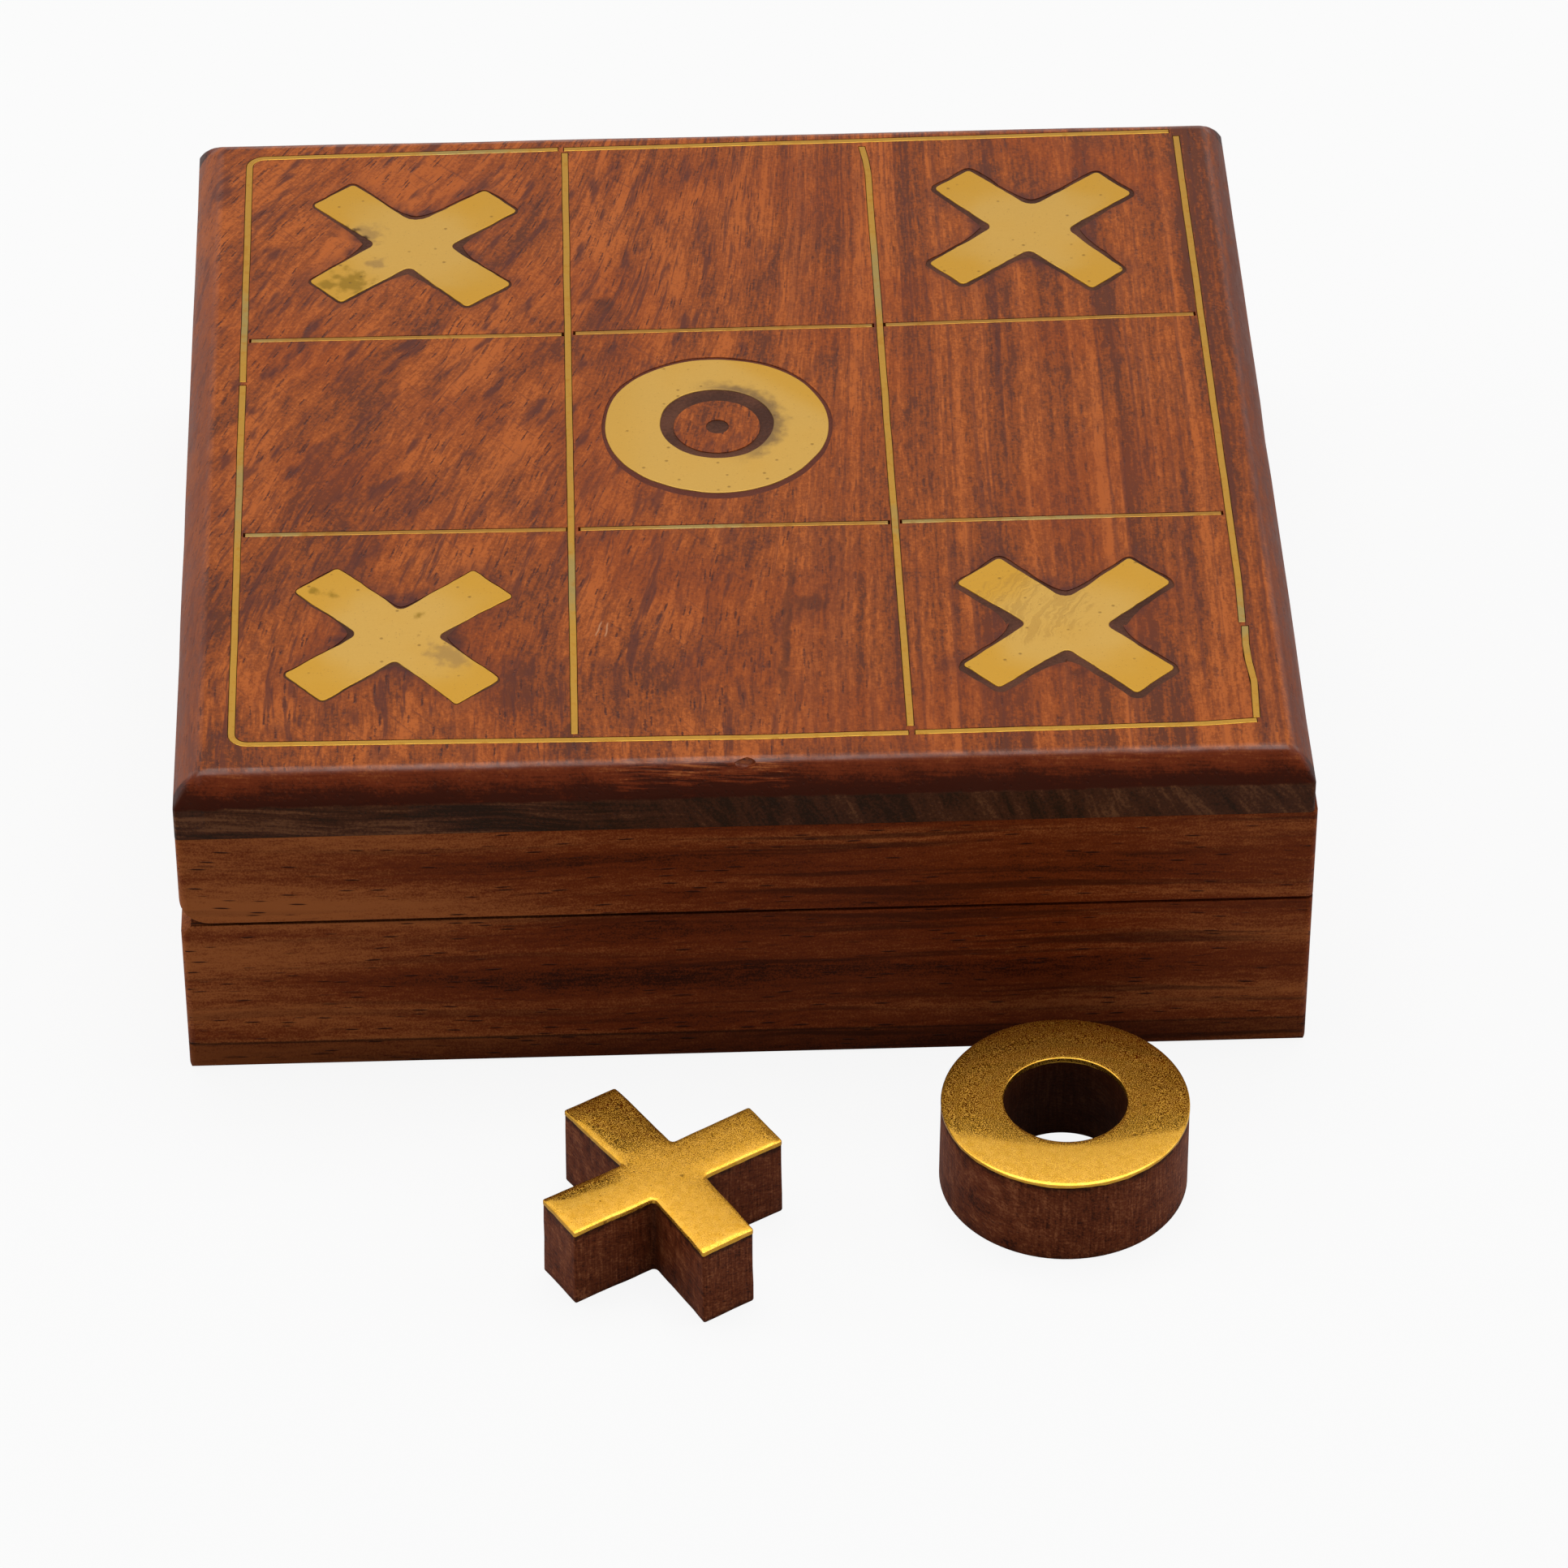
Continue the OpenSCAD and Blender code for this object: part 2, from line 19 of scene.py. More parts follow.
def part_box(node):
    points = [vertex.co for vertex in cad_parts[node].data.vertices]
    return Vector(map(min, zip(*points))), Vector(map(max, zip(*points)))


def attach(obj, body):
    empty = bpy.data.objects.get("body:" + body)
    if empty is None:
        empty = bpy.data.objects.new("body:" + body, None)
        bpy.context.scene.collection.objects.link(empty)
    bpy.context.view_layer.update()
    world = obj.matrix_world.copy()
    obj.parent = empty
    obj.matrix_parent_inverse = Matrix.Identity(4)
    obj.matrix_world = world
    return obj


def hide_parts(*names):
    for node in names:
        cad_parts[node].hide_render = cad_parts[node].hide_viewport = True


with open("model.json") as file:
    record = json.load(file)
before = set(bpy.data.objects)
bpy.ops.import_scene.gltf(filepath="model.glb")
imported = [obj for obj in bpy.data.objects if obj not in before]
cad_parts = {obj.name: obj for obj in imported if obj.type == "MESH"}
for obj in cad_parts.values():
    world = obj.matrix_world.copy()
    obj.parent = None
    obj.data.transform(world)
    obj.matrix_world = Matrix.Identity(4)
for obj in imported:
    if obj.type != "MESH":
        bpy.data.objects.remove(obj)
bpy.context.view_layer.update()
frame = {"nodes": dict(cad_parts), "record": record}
MM = 0.001

# %% [markdown]
# The camera
#
# It was solved from the box's corners in the photograph: a long lens, 0.88 m away, that looks down at the
# lid by about 40 degrees. The picture is square, so the sensor's width serves both ways.

# %% Camera
CAMERA_AT = Vector((-19.2, -686.5, 553.3)) * MM
CAMERA_TURN = (50.53, 0.03, -2.16)
PHOTO_SIDE = 1932
FOCAL_LENGTH_PX = 9011
SENSOR = 36


def in_scene(name, data):
    """An object that holds this mesh, lamp or lens."""
    made = bpy.data.objects.new(name, data)
    bpy.context.scene.collection.objects.link(made)
    return made


lens = bpy.data.cameras.new("camera")
lens.sensor_width = SENSOR
lens.lens = FOCAL_LENGTH_PX / PHOTO_SIDE * SENSOR
lens.clip_start = 0.01
camera = in_scene("camera", lens)
camera.location = CAMERA_AT
camera.rotation_euler = [math.radians(a) for a in CAMERA_TURN]
bpy.context.scene.camera = camera
print("lens:", round(lens.lens, 1), "mm")

# %% [markdown]
# Shader maths as plain Python
#
# A finish is a sum of many patterns, and in the node editor that becomes a web that nobody can read. A
# Wire stands for one output of a node. Adding or multiplying wires adds the Math nodes, so a pattern reads
# as a formula. Finish.node makes every other kind of node.

# %% Wires and finishes
class Wire:
    """One output of a node. Arithmetic on it adds Math nodes."""

    def __init__(self, finish, socket):
        self.finish = finish
        self.socket = socket

    def maths(self, operation, *values):
        return self.finish.node("Math", {"operation": operation}, dict(enumerate(values)))

    def __add__(self, other):
        return self.maths("ADD", self, other)

    def __sub__(self, other):
        return self.maths("SUBTRACT", self, other)

    def __rsub__(self, other):
        return self.maths("SUBTRACT", other, self)

    def __mul__(self, other):
        return self.maths("MULTIPLY", self, other)

    def __pow__(self, other):
        return self.maths("POWER", self, other)

    def __abs__(self):
        return self.maths("ABSOLUTE", self)

    __radd__ = __add__
    __rmul__ = __mul__


class Finish:
    """A material, or the world, that is built up node by node."""

    def __init__(self, holder):
        holder.use_nodes = True
        self.holder = holder
        self.tree = holder.node_tree
        self.tree.nodes.clear()

    def node(self, kind, settings=None, inputs=None, output=0):
        """Adds a node: its settings first, then its sockets by name, identifier or number."""
        made = self.tree.nodes.new("ShaderNode" + kind)
        for key, value in (settings or {}).items():
            setattr(made, key, value)
        for key, value in (inputs or {}).items():
            if isinstance(key, int):
                socket = made.inputs[key]
            else:
                socket = next(s for s in made.inputs if key in (s.identifier, s.name))
            if isinstance(value, Wire):
                self.tree.links.new(value.socket, socket)
            else:
                socket.default_value = value
        return Wire(self, made.outputs[output])

    def close(self, surface, kind="Material"):
        """Links the finished shader to the output."""
        out = self.tree.nodes.new("ShaderNodeOutput" + kind)
        self.tree.links.new(surface.socket, out.inputs["Surface"])
        return self.holder


print("wires and finishes are ready")

# %% [markdown]
# Small patterns that every finish is made from
#
# Positions are in millimetres, so a pattern's frequency is in waves per millimetre and can be read off a
# ruler laid on the real box. A colour is written as it looks on a screen, and is turned into the linear
# light that the shader works in.

# %% Pattern helpers
def colour(red, green, blue):
    """A screen colour from 0 to 255 as linear light."""
    return [((c / 255 + 0.055) / 1.055) ** 2.4 if c > 10 else c / 255 / 12.92
            for c in (red, green, blue)] + [1]


WHITE = colour(255, 255, 255)


def parts_of(finish, vector):
    return [finish.node("SeparateXYZ", {}, {0: vector}, output=i) for i in range(3)]


def finish_here(name):
    """A new finish that knows where each point of the surface is on its piece, in millimetres."""
    finish = Finish(bpy.data.materials.new(name))
    metres = finish.node("TexCoord", output=3)
    finish.here = finish.node("VectorMath", {"operation": "SCALE"}, {0: metres, "Scale": 1 / MM})
    finish.x, finish.y, finish.z = parts_of(finish, finish.here)
    return finish


def joined(finish, x, y, z):
    return finish.node("CombineXYZ", {}, {0: x, 1: y, 2: z})


def stretched(finish, x, y, z):
    """Coordinates with a frequency of their own along each axis."""
    return finish.node("VectorMath", {"operation": "MULTIPLY"}, {0: finish.here, 1: (x, y, z)})


def cloud(finish, vector, frequency=1, detail=2, roughness=0.5):
    """Soft noise about zero."""
    settings = {"noise_dimensions": "3D"}
    sockets = {"Vector": vector, "Scale": frequency, "Detail": detail, "Roughness": roughness}
    return finish.node("TexNoise", settings, sockets) - 0.5


def fine_grit(finish):
    return cloud(finish, finish.here, 4.5, 2, 0.7)


def cells(finish, vector, frequency=1):
    """Scattered cells: how far a point is from its cell's middle, and a number by lot for each cell."""
    kind = {"voronoi_dimensions": "3D", "feature": "F1"}
    near, tint = [finish.node("TexVoronoi", kind, {"Vector": vector, "Scale": frequency}, output=i)
                  for i in range(2)]
    return near, parts_of(finish, tint)[0]


def fade(value, start, end, low=0, high=1):
    """Turns smoothly from low to high as a value goes from start to end."""
    sockets = {"Value": value, "From Min": start, "From Max": end, "To Min": low, "To Max": high}
    return value.finish.node("MapRange", {"interpolation_type": "SMOOTHSTEP"}, sockets)


def mixed(finish, share, first, second):
    """The first colour turning into the second as share goes from 0 to 1."""
    sockets = {"Factor_Float": share, "A_Color": first, "B_Color": second}
    return finish.node("Mix", {"data_type": "RGBA"}, sockets, output=2)


def larger(first, *others):
    for other in others:
        first = first.maths("MAXIMUM", first, other)
    return first


def smaller(first, *others):
    for other in others:
        first = first.maths("MINIMUM", first, other)
    return first


def away_from(finish, at):
    """How far a point is from an upright axis through a place."""
    return ((finish.x - at[0]) ** 2 + (finish.y - at[1]) ** 2) ** 0.5


def turned(finish, at, angle):
    """How far a point lies along a direction from a place, and how far across it."""
    right, back = finish.x - at[0], finish.y - at[1]
    cosine, sine = math.cos(angle), math.sin(angle)
    return right * cosine + back * sine, back * cosine - right * sine


print("white as linear light:", WHITE)

# %% [markdown]
# From a bmesh to an object
#
# Shapes are made as bmeshes, which belong to the script alone. Each is written into a mesh that an object
# holds, and then freed.

# %% Objects
def as_object(bm, name, material=None):
    mesh = bpy.data.meshes.new(name)
    bm.to_mesh(mesh)
    bm.free()
    if material:
        mesh.materials.append(material)
    return in_scene(name, mesh)


# %% [markdown]
# Floor, lights and world
#
# The photograph was taken on white under soft studio light. A wide lamp overhead lights the lid and makes
# the pale line along the front bevel, and two upright lamps draw the side bevels. The white behind the
# box comes from what camera and gloss rays see, never from more light on the box, and the floor lets a
# little of its real shading through, so that the shadow stays.

# %% Stage
FLOOR_TONE = 0.72
FLOOR_GLOW = 0.9
AMBIENT = 0.3
FLOOR_HALF = 4
BACKGROUND_RAYS = ("Is Camera Ray", "Is Glossy Ray", "Is Transmission Ray")


def light_the_world():
    """White to the rays that show the background, and dimmer to those that light the box."""
    bpy.context.scene.world = bpy.data.worlds.new("studio")
    sky = Finish(bpy.context.scene.world)
    seen = larger(*[sky.node("LightPath", output=kind) for kind in BACKGROUND_RAYS])
    strength = AMBIENT + (1 - AMBIENT) * seen
    sky.close(sky.node("Background", {}, {"Color": WHITE, "Strength": strength}), "World")


def floor_finish():
    pale = Finish(bpy.data.materials.new("floor"))
    matt = pale.node("BsdfDiffuse", {}, {"Color": [FLOOR_TONE] * 3 + [1]})
    glow = pale.node("Emission", {}, {"Color": WHITE, "Strength": 1.0})
    share = pale.node("LightPath", output="Is Camera Ray") * FLOOR_GLOW
    return pale.close(pale.node("MixShader", {}, {0: share, 1: matt, 2: glow}))


def lay_floor():
    bm = bmesh.new()
    bmesh.ops.create_grid(bm, x_segments=1, y_segments=1, size=FLOOR_HALF)
    as_object(bm, "floor", floor_finish())


def hang_lamp(name, at, width, height, power):
    """A rectangular soft lamp that faces the middle of the box."""
    data = bpy.data.lights.new(name, "AREA")
    data.shape = "RECTANGLE"
    data.size = width
    data.size_y = height
    data.energy = power
    lamp = in_scene(name, data)
    lamp.location = at
    lamp.rotation_euler = (-Vector(at)).to_track_quat("-Z", "Y").to_euler()


light_the_world()
lay_floor()
hang_lamp("lamp_overhead", (0, 0.25, 1.3), 1.1, 0.8, 9.5)
for side, at_x in (("left", -1.3), ("right", 1.3)):
    hang_lamp("lamp_" + side, (at_x, 0.1, 0.6), 0.5, 0.9, 3.5)
bpy.context.scene.view_settings.view_transform = "Standard"

# %% [markdown]
# Patterns in wood
#
# Lines of equal "across" are the grain lines, and every pattern is stretched along them. So a grain is a
# set of three coordinates: across, along and depth. Short dark dashes are the open pores, cut lengthways.

# %% Wood patterns
WARM_GLOSS = colour(255, 205, 172)


def along_grain(finish, grain, wide, long):
    """Coordinates in which a spot of this width and length, in millimetres, is a unit cube."""
    across, along, depth = grain
    return joined(finish, across * (1 / wide), along * (1 / long), depth * (1 / wide))


def pores(finish, grain, density, wide=0.45, long=4.2, ragged=0):
    """Short dark dashes along the grain, as a mask. density is the share of cells with a dash, and ragged
    eats into its edge."""
    near, chance = cells(finish, along_grain(finish, grain, wide, long))
    return fade(near + ragged, 0.12, 0.28, 1, 0) * fade(chance + density, 1, 1.25)


def bands(finish, grain, wide, long, detail=3, roughness=0.6):
    """Streaks of a width and a length in millimetres."""
    return cloud(finish, along_grain(finish, grain, wide, long), 1, detail, roughness)


def wood_colour(finish, tone, dark, middle, light):
    """Three stops of one wood: tone 0 is dark, 0.5 the middle and 1 light."""
    lower = mixed(finish, fade(tone, 0, 0.5), dark, middle)
    return mixed(finish, fade(tone, 0.45, 1), lower, light)


def closed(finish, sockets, height, depth):
    """Closes a finish with the main shader. The bump's height is in shares of depth, in millimetres."""
    bump = {"Height": height, "Strength": 1.0, "Distance": depth * MM}
    sockets["Normal"] = finish.node("Bump", {}, bump)
    return finish.close(finish.node("BsdfPrincipled", {}, sockets))


def closed_wood(finish, body, rough, gloss, height, depth, wax=None):
    sockets = {"Base Color": body, "Roughness": rough, "Specular IOR Level": gloss,
               "Specular Tint": WARM_GLOSS, **(wax or {})}
    return closed(finish, sockets, height, depth)


print("gloss on wood:", [round(c, 2) for c in WARM_GLOSS])

# %% [markdown]
# Marks of age in the lid
#
# Each figure's filler has stained the wood in the notches of its cross. There are a few knots, one dark
# streak in the front row's middle square, and two scratches beside it.

# %% Marks in the wood
CROSS_AT = {"back_left": (-37.15, 38.9), "back_right": (37.75, 39.6), "front_left": (-38.65, -37.1),
            "front_right": (36.95, -37.9)}
CROSS_LEAN = math.radians(41)
ARM_HALF, ARM_REACH = 3.2, 14.2
RING_AT = [(a + b) / 2 / MM for a, b in zip(*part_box("inlay_ring"))][:2]
KNOTS = ((-14, 25.1, 1.6), (37.2, -46.9, 1.2), (-32.4, -37, 2.0), (-44.5, 45, 2.4), (8, -33.5, 1.6))
STREAK = ((6.5, -22), (4.2, -54))
SCRATCHES = (((-16.4, -38.4), (-15.5, -35.4)), ((-15.3, -38.6), (-14.8, -35.6)))


def spots_of(finish, ragged, marks):
    """Dark spots with soft ragged rims, as one mask. A mark is a place and a radius in millimetres."""
    masks = []
    for at_x, at_y, radius in marks:
        reach = away_from(finish, (at_x, at_y)) + ragged * radius * 4
        masks.append(fade(reach, radius * 0.3, radius * 1.7, 1, 0))
    return larger(*masks)


def line_mark(finish, ragged, ends, width):
    """A thin mark from one place to another, fading out at both."""
    start, end = ends
    run_x, run_y = end[0] - start[0], end[1] - start[1]
    length = math.hypot(run_x, run_y)
    along, across = turned(finish, start, math.atan2(run_y, run_x))
    off = abs(across - ragged * width * 3)
    return fade(off, width * 0.3, width, 1, 0) * fade(abs(along - length / 2), length * 0.3, length / 2, 1, 0)


def cross_stains(finish, ragged):
    """Dark wood all round a cross, and darker in its notches."""
    stains = 0
    for at in CROSS_AT.values():
        along, across = (abs(way) for way in turned(finish, at, CROSS_LEAN))
        far = larger(along, across)
        out = larger(smaller(along, across) - ARM_HALF, far - ARM_REACH) + ragged * 3
        notch = fade(far + ragged * 5, 4.5, 8.5, 1, 0)
        stains = fade(out, 0.1, 2.6, 1, 0) * (0.45 + 0.75 * notch) + stains
    return stains


print("knots:", len(KNOTS), "scratches:", len(SCRATCHES))

# %% [markdown]
# The lid's wood
#
# The board is one piece of sheesham, a rosewood. Its grain runs from front to back on the right and leans
# over towards the left, where it turns cloudy. That is drawn by bending the coordinate across the grain.
# At the front and back edges the same wood shows its end grain, which is dark. The patterns that more than
# one step needs are kept on the finish.

# %% Lid: grain
def lid_grain(f):
    f.right = fade(f.x, -8, 24)
    f.left = 1 - f.right
    f.wander = cloud(f, stretched(f, 0.035, 0.02, 0.035))
    ripple = cloud(f, stretched(f, 0.28, 0.1, 0.28), 1, 1)
    lean = larger(f.y + 45, 0) ** 1.35 * fade(f.x, 30, -30, 0.002, 0.085)
    bend = (f.wander * fade(f.y, -20, 15, 4.5, 8) + ripple * 0.9) * (1 - f.right * 0.75)
    f.grain = (f.x - lean + bend + f.z * 0.5, f.y, f.z)
    f.ragged = cloud(f, f.here, 0.5, 3)
    f.grit = cloud(f, f.here, 2.6, 3, 0.7)
    f.mottle = bands(f, f.grain, 4, 10)
    f.flecks = bands(f, f.grain, 0.4, 2.2, 2)


LID_WOOD = finish_here("lid_wood")
lid_grain(LID_WOOD)
print("nodes for the grain:", len(LID_WOOD.tree.nodes))

# %% Lid: figure
LID_TONES = (colour(96, 48, 30), colour(146, 73, 33), colour(186, 99, 46))
LID_RED = colour(150, 64, 26)


def lid_ground(f):
    """The wood's own colour: cloudy on the left and striped on the right."""
    tone = 0.6 - 0.21 * f.right + fade(f.y, 15, 45, -0.09, 0.06) * f.left
    tone = tone + fade(abs(f.x), 22, 12) * fade(f.y, 20, 5) * 0.08
    tone = tone - fade(f.x, -18, -30) * fade(f.y, 5, -10) * 0.05
    tone = tone - fade(away_from(f, RING_AT), 6.5, 5.5) * 0.15
    tone = tone + f.mottle * (1.7 - 1.2 * f.right)
    tone = tone + bands(f, f.grain, 11, 26, 2, 0.5) * (1.4 - 1.0 * f.right)
    tone = tone + bands(f, f.grain, 1.3, 110, 2) * (0.6 + 1.0 * f.right)
    tone = tone + bands(f, f.grain, 3.8, 130, 2, 0.5) * f.right * 1.8 + f.flecks * 1.4 + f.grit * 1.4
    red = fade(cloud(f, f.here, 0.045), -0.1, 0.2)
    return mixed(f, red * 0.3, wood_colour(f, tone, *LID_TONES), LID_RED)


def lid_darker(f):
    """A mask of the darker figure: patches and veins, streaks, lines, a grain that crosses, and stains."""
    patches = fade(bands(f, f.grain, 2.6, 8), 0.03, 0.18) * (0.9 - 0.75 * f.right)
    patches = patches * fade(f.y, -30, 5, 0.6, 1)
    veins = fade(bands(f, f.grain, 1.2, 13, 3, 0.65), 0.04, 0.16) * (0.8 - 0.6 * f.right)
    veins = veins * larger(fade(f.y, 5, -20), fade(f.y, 16, 24) * fade(f.x, -22, -17))
    streaks = fade(bands(f, f.grain, 0.7, 8, 2), 0.09, 0.22) * (0.65 - 0.3 * f.right)
    lines = fade(bands(f, f.grain, 0.8, 80, 1, 0.5), 0.05, 0.17) * f.right * 0.5
    crossing = (f.x + f.y * 0.85 + f.wander * 9, f.y, f.z)
    counter = fade(bands(f, crossing, 0.6, 12, 2, 0.5), 0.1, 0.22) * f.left * 0.4
    stains = cross_stains(f, f.ragged) * fade(f.z, 38.6, 40.4)
    return larger(patches, veins, streaks, counter, lines, stains)


print("stops of the lid's wood:", len(LID_TONES))

# %% Lid: pores and marks
LID_DARK = colour(84, 42, 36)
LID_PORE = colour(72, 34, 29)
LID_KNOT = colour(66, 34, 28)
SCRATCH_PALE = colour(214, 160, 120)


def lid_pores(f):
    density = 0.7 - 0.3 * f.right + fade(f.y, 0, -30) * f.left * 0.12
    return larger(pores(f, f.grain, density, 0.55, 4.2, f.grit * 0.55),
                  pores(f, f.grain, 0.3, 0.95, 6, f.grit * 0.55) * 0.85)


def lid_top(f):
    """The top's colour, with its figure, pores and marks."""
    body = mixed(f, lid_darker(f) * 0.94, lid_ground(f), LID_DARK)
    f.dashes = lid_pores(f)
    body = mixed(f, f.dashes * (0.85 - 0.35 * f.right), body, LID_PORE)
    spots = larger(spots_of(f, f.ragged, KNOTS), line_mark(f, f.ragged, STREAK, 0.7))
    body = mixed(f, spots * 0.55, body, LID_KNOT)
    for ends in SCRATCHES:
        body = mixed(f, line_mark(f, f.ragged, ends, 0.15) * 0.5, body, SCRATCH_PALE)
    return body


print("knots, streak and scratches:", len(KNOTS) + 1 + len(SCRATCHES))

# %% Lid: slopes and edges
SIDE_SHEEN_TONES = (colour(124, 68, 50), colour(96, 46, 32))
SLOPE_TONES = (colour(52, 11, 3), colour(106, 41, 17), colour(164, 90, 46))
EDGE_TONES = (colour(37, 20, 11), colour(70, 36, 21), colour(112, 70, 44))
TORN_AT = -4.5
CROWN_AT = 60.6


def lid_slope(f, fibres, torn):
    """The front and back slopes, painted lighter upwards as highlight and darker at the foot as shade, with
    the long fibres of a torn patch.
    """
    tone = fade(f.z, 38.4, 41.2, -0.08, 0.5) + f.mottle * 0.8
    tone = tone + fibres * (0.7 + torn * 1.9) + f.grit * 0.7
    return wood_colour(f, tone, *SLOPE_TONES)


def lid_edge(f):
    """The end grain under the slopes: lengthwise figure on the left, and upright on the right."""
    left_end = fade(f.x, 0, -25)
    lengthwise = bands(f, (f.z + f.x * 0.05 + f.wander * 4, f.x, f.y), 0.9, 14, 3, 0.65)
    upright = bands(f, (f.x + f.z * 0.5 + f.wander * 8, f.z * 3, f.y), 1.8, 24, 3, 0.65)
    tone = fade(abs(f.x), 10, 50, 0.3, 0.46) + lengthwise * left_end * 2.9
    tone = tone + upright * (1 - left_end) * 2.2 + f.grit * 1.3
    return wood_colour(f, tone, *EDGE_TONES)


def lid_finish(f):
    # Painted sheen and shade: the side bevels get a flat pinkish tone, lighter on the left than on the right
    # and stronger towards the front.
    side = fade(abs(f.x), 60.2, 61.0) * fade(f.z, 37.4, 38.4) * fade(f.y, 50, 15, 0.35, 0.6)
    body = mixed(f, side, lid_top(f), mixed(f, fade(f.x, -10, 10), *SIDE_SHEEN_TONES))
    end = fade(abs(f.y), 60.4, 60.9)
    torn = fade(abs(f.x - TORN_AT + f.ragged * 14), 7, 12.5, 1, 0) * fade(f.z + f.ragged * 3, 38.4, 39.8)
    fibres = bands(f, (f.z * 0.7 + f.y + f.x * 0.06, f.x, f.y), 0.4, 5)
    on_slope = fade(f.z + f.ragged * 0.6, 38.0, 38.3)
    body = mixed(f, end, body, mixed(f, on_slope, lid_edge(f), lid_slope(f, fibres, torn)))
    height = f.flecks * 0.5 - f.dashes * 0.9 + f.wander + torn * end * (f.ragged + fibres) * 2
    rough = fade(f.flecks + f.mottle, -0.3, 0.3, 0.38, 0.52)
    crown = larger(fade(abs(abs(f.y) - CROWN_AT), 0.7, 0.25), fade(abs(abs(f.x) - CROWN_AT), 0.6, 0.2) * 0.4)
    wax = {"Coat Weight": crown * fade(f.z, 40.2, 40.9) * (0.4 + f.ragged * 0.9), "Coat Roughness": 0.26}
    return closed_wood(f, body, rough, 0.16, height, 0.06, wax)


LID_WOOD = lid_finish(LID_WOOD)
print("finish:", LID_WOOD.name, "with", len(LID_WOOD.node_tree.nodes), "nodes")

# %% [markdown]
# The wood of the walls and rails
#
# These are sawn from straighter, darker stock. Each piece has its grain along its own length, so the same
# recipe is made once for pieces that run left to right and once for those that run front to back. The wood
# is painted dark along the two joints, between lid and base and between wall and panel, as shade in the gaps.
# Towards both ends it is lighter, partly the wood's own tone and partly painted light.

# %% Frame wood
JOINTS = ((21.55, 0.12, 0.24), (3.8, 0.05, 0.3))
JOINT_SHADE = colour(20, 7, 3)
WALL_TONES = (colour(46, 13, 4), colour(112, 45, 13), colour(164, 92, 46))
PANEL_TONES = (colour(40, 12, 3), colour(86, 34, 10), colour(126, 66, 30))


def make_frame_wood(name, axis, tones):
    f = finish_here(name)
    along, depth = (f.x, f.y) if axis == "x" else (f.y, f.x)
    wander = cloud(f, joined(f, f.z * 0.05, along * 0.014, depth * 0.05))
    ripple = cloud(f, joined(f, f.z * 0.25, along * 0.09, depth * 0.25), 1, 1)
    grain = (f.z + wander * 5 + ripple * 0.6 + depth * 0.35, along, depth)
    flecks = bands(f, grain, 0.4, 2.6, 2)
    grit = fine_grit(f)
    # Lighter towards both ends: partly the wood's own tone and partly painted light.
    ends = fade(along, -5, -60, 0, 0.38) + fade(along, 25, 60, 0, 0.18)
    tone = 0.44 + ends + bands(f, grain, 4, 80, 2, 0.5) * 1.3 + flecks * 0.6 + grit * 0.9
    streaks = fade(bands(f, grain, 1.3, 55, 2, 0.55), 0.02, 0.16) * fade(along, -45, 15, 0.25, 0.65)
    dashes = larger(pores(f, grain, 0.65, 0.55, 4.6), pores(f, grain, 0.2, 0.95, 6) * 0.8)
    body = mixed(f, larger(streaks, dashes * 0.95), wood_colour(f, tone, *tones), tones[0])
    # Painted shade: a dark line along each joint, where the gap between the parts is in shade.
    for height, narrow, wide in JOINTS:
        off = abs(f.z - height + wander * narrow) + grit * 0.15
        joint_shade = fade(off, narrow, wide, 1, 0) * fade(along, -20, 40, 0.7, 0.4)
        body = mixed(f, joint_shade, body, JOINT_SHADE)
    rough = fade(flecks, -0.3, 0.3, 0.42, 0.56)
    return closed_wood(f, body, rough, 0.1, flecks * 0.4 - dashes * 0.8 + wander, 0.05)


FRAME_WOOD = {axis: make_frame_wood("frame_wood_" + axis, axis, WALL_TONES) for axis in "xy"}
PANEL_WOOD = make_frame_wood("panel_wood", "x", PANEL_TONES)
print("finishes:", [m.name for m in FRAME_WOOD.values()], PANEL_WOOD.name)

# %% [markdown]
# Brass
#
# Three kinds of it: the inlay, rubbed flat with the wood and left matt; the strips, of which some lengths
# have dulled to grey green; and the plates of the playing pieces, brushed nearly to a mirror. All are pure
# metal, so their colour is the tint that they give to what they reflect.

# %% Inlay brass
TARNISH = ((-44.4, 31.6, 1.9), (-47.2, 31.2, 1.0), (-48.4, -28.8, 0.5), (-46.1, -29.5, 0.6),
           (-36.3, -33.6, 0.5))
SMUDGES = ((-32.6, -41, 2.0), (-42.4, 41.6, 1.5), (-41.6, 35.2, 0.9))
BITES = ((-45.2, 42.9, 0.55), (-44.2, 41.9, 0.5), (-42.9, 40.6, 0.4))
HOLE_AT = (RING_AT[0] - 0.25, RING_AT[1] + 0.68)
FILED_ROUND = (52, -44)
FILED_CENTRE = (33.4, -34.4)
BRASS_PALE, BRASS_GOLD = colour(181, 144, 72), colour(178, 135, 49)
BRASS_GRIT, BRASS_PIT = colour(150, 112, 50), colour(100, 72, 30)
BRASS_MARKS = ((TARNISH, 0.7, colour(120, 92, 22)), (SMUDGES, 0.5, colour(118, 92, 62)),
               (BITES, 0.9, colour(58, 38, 26)))
HOLE_GRIME, FILED_TONE = colour(96, 74, 56), colour(140, 104, 48)


def closed_brass(finish, body, rough, height, depth):
    return closed(finish, {"Base Color": body, "Metallic": 1.0, "Roughness": rough}, height, depth)


def pits(finish, frequency, density):
    near, chance = cells(finish, finish.here, frequency)
    return fade(near, 0.06, 0.2, 1, 0) * fade(chance, 1 - density, 1.04 - density)


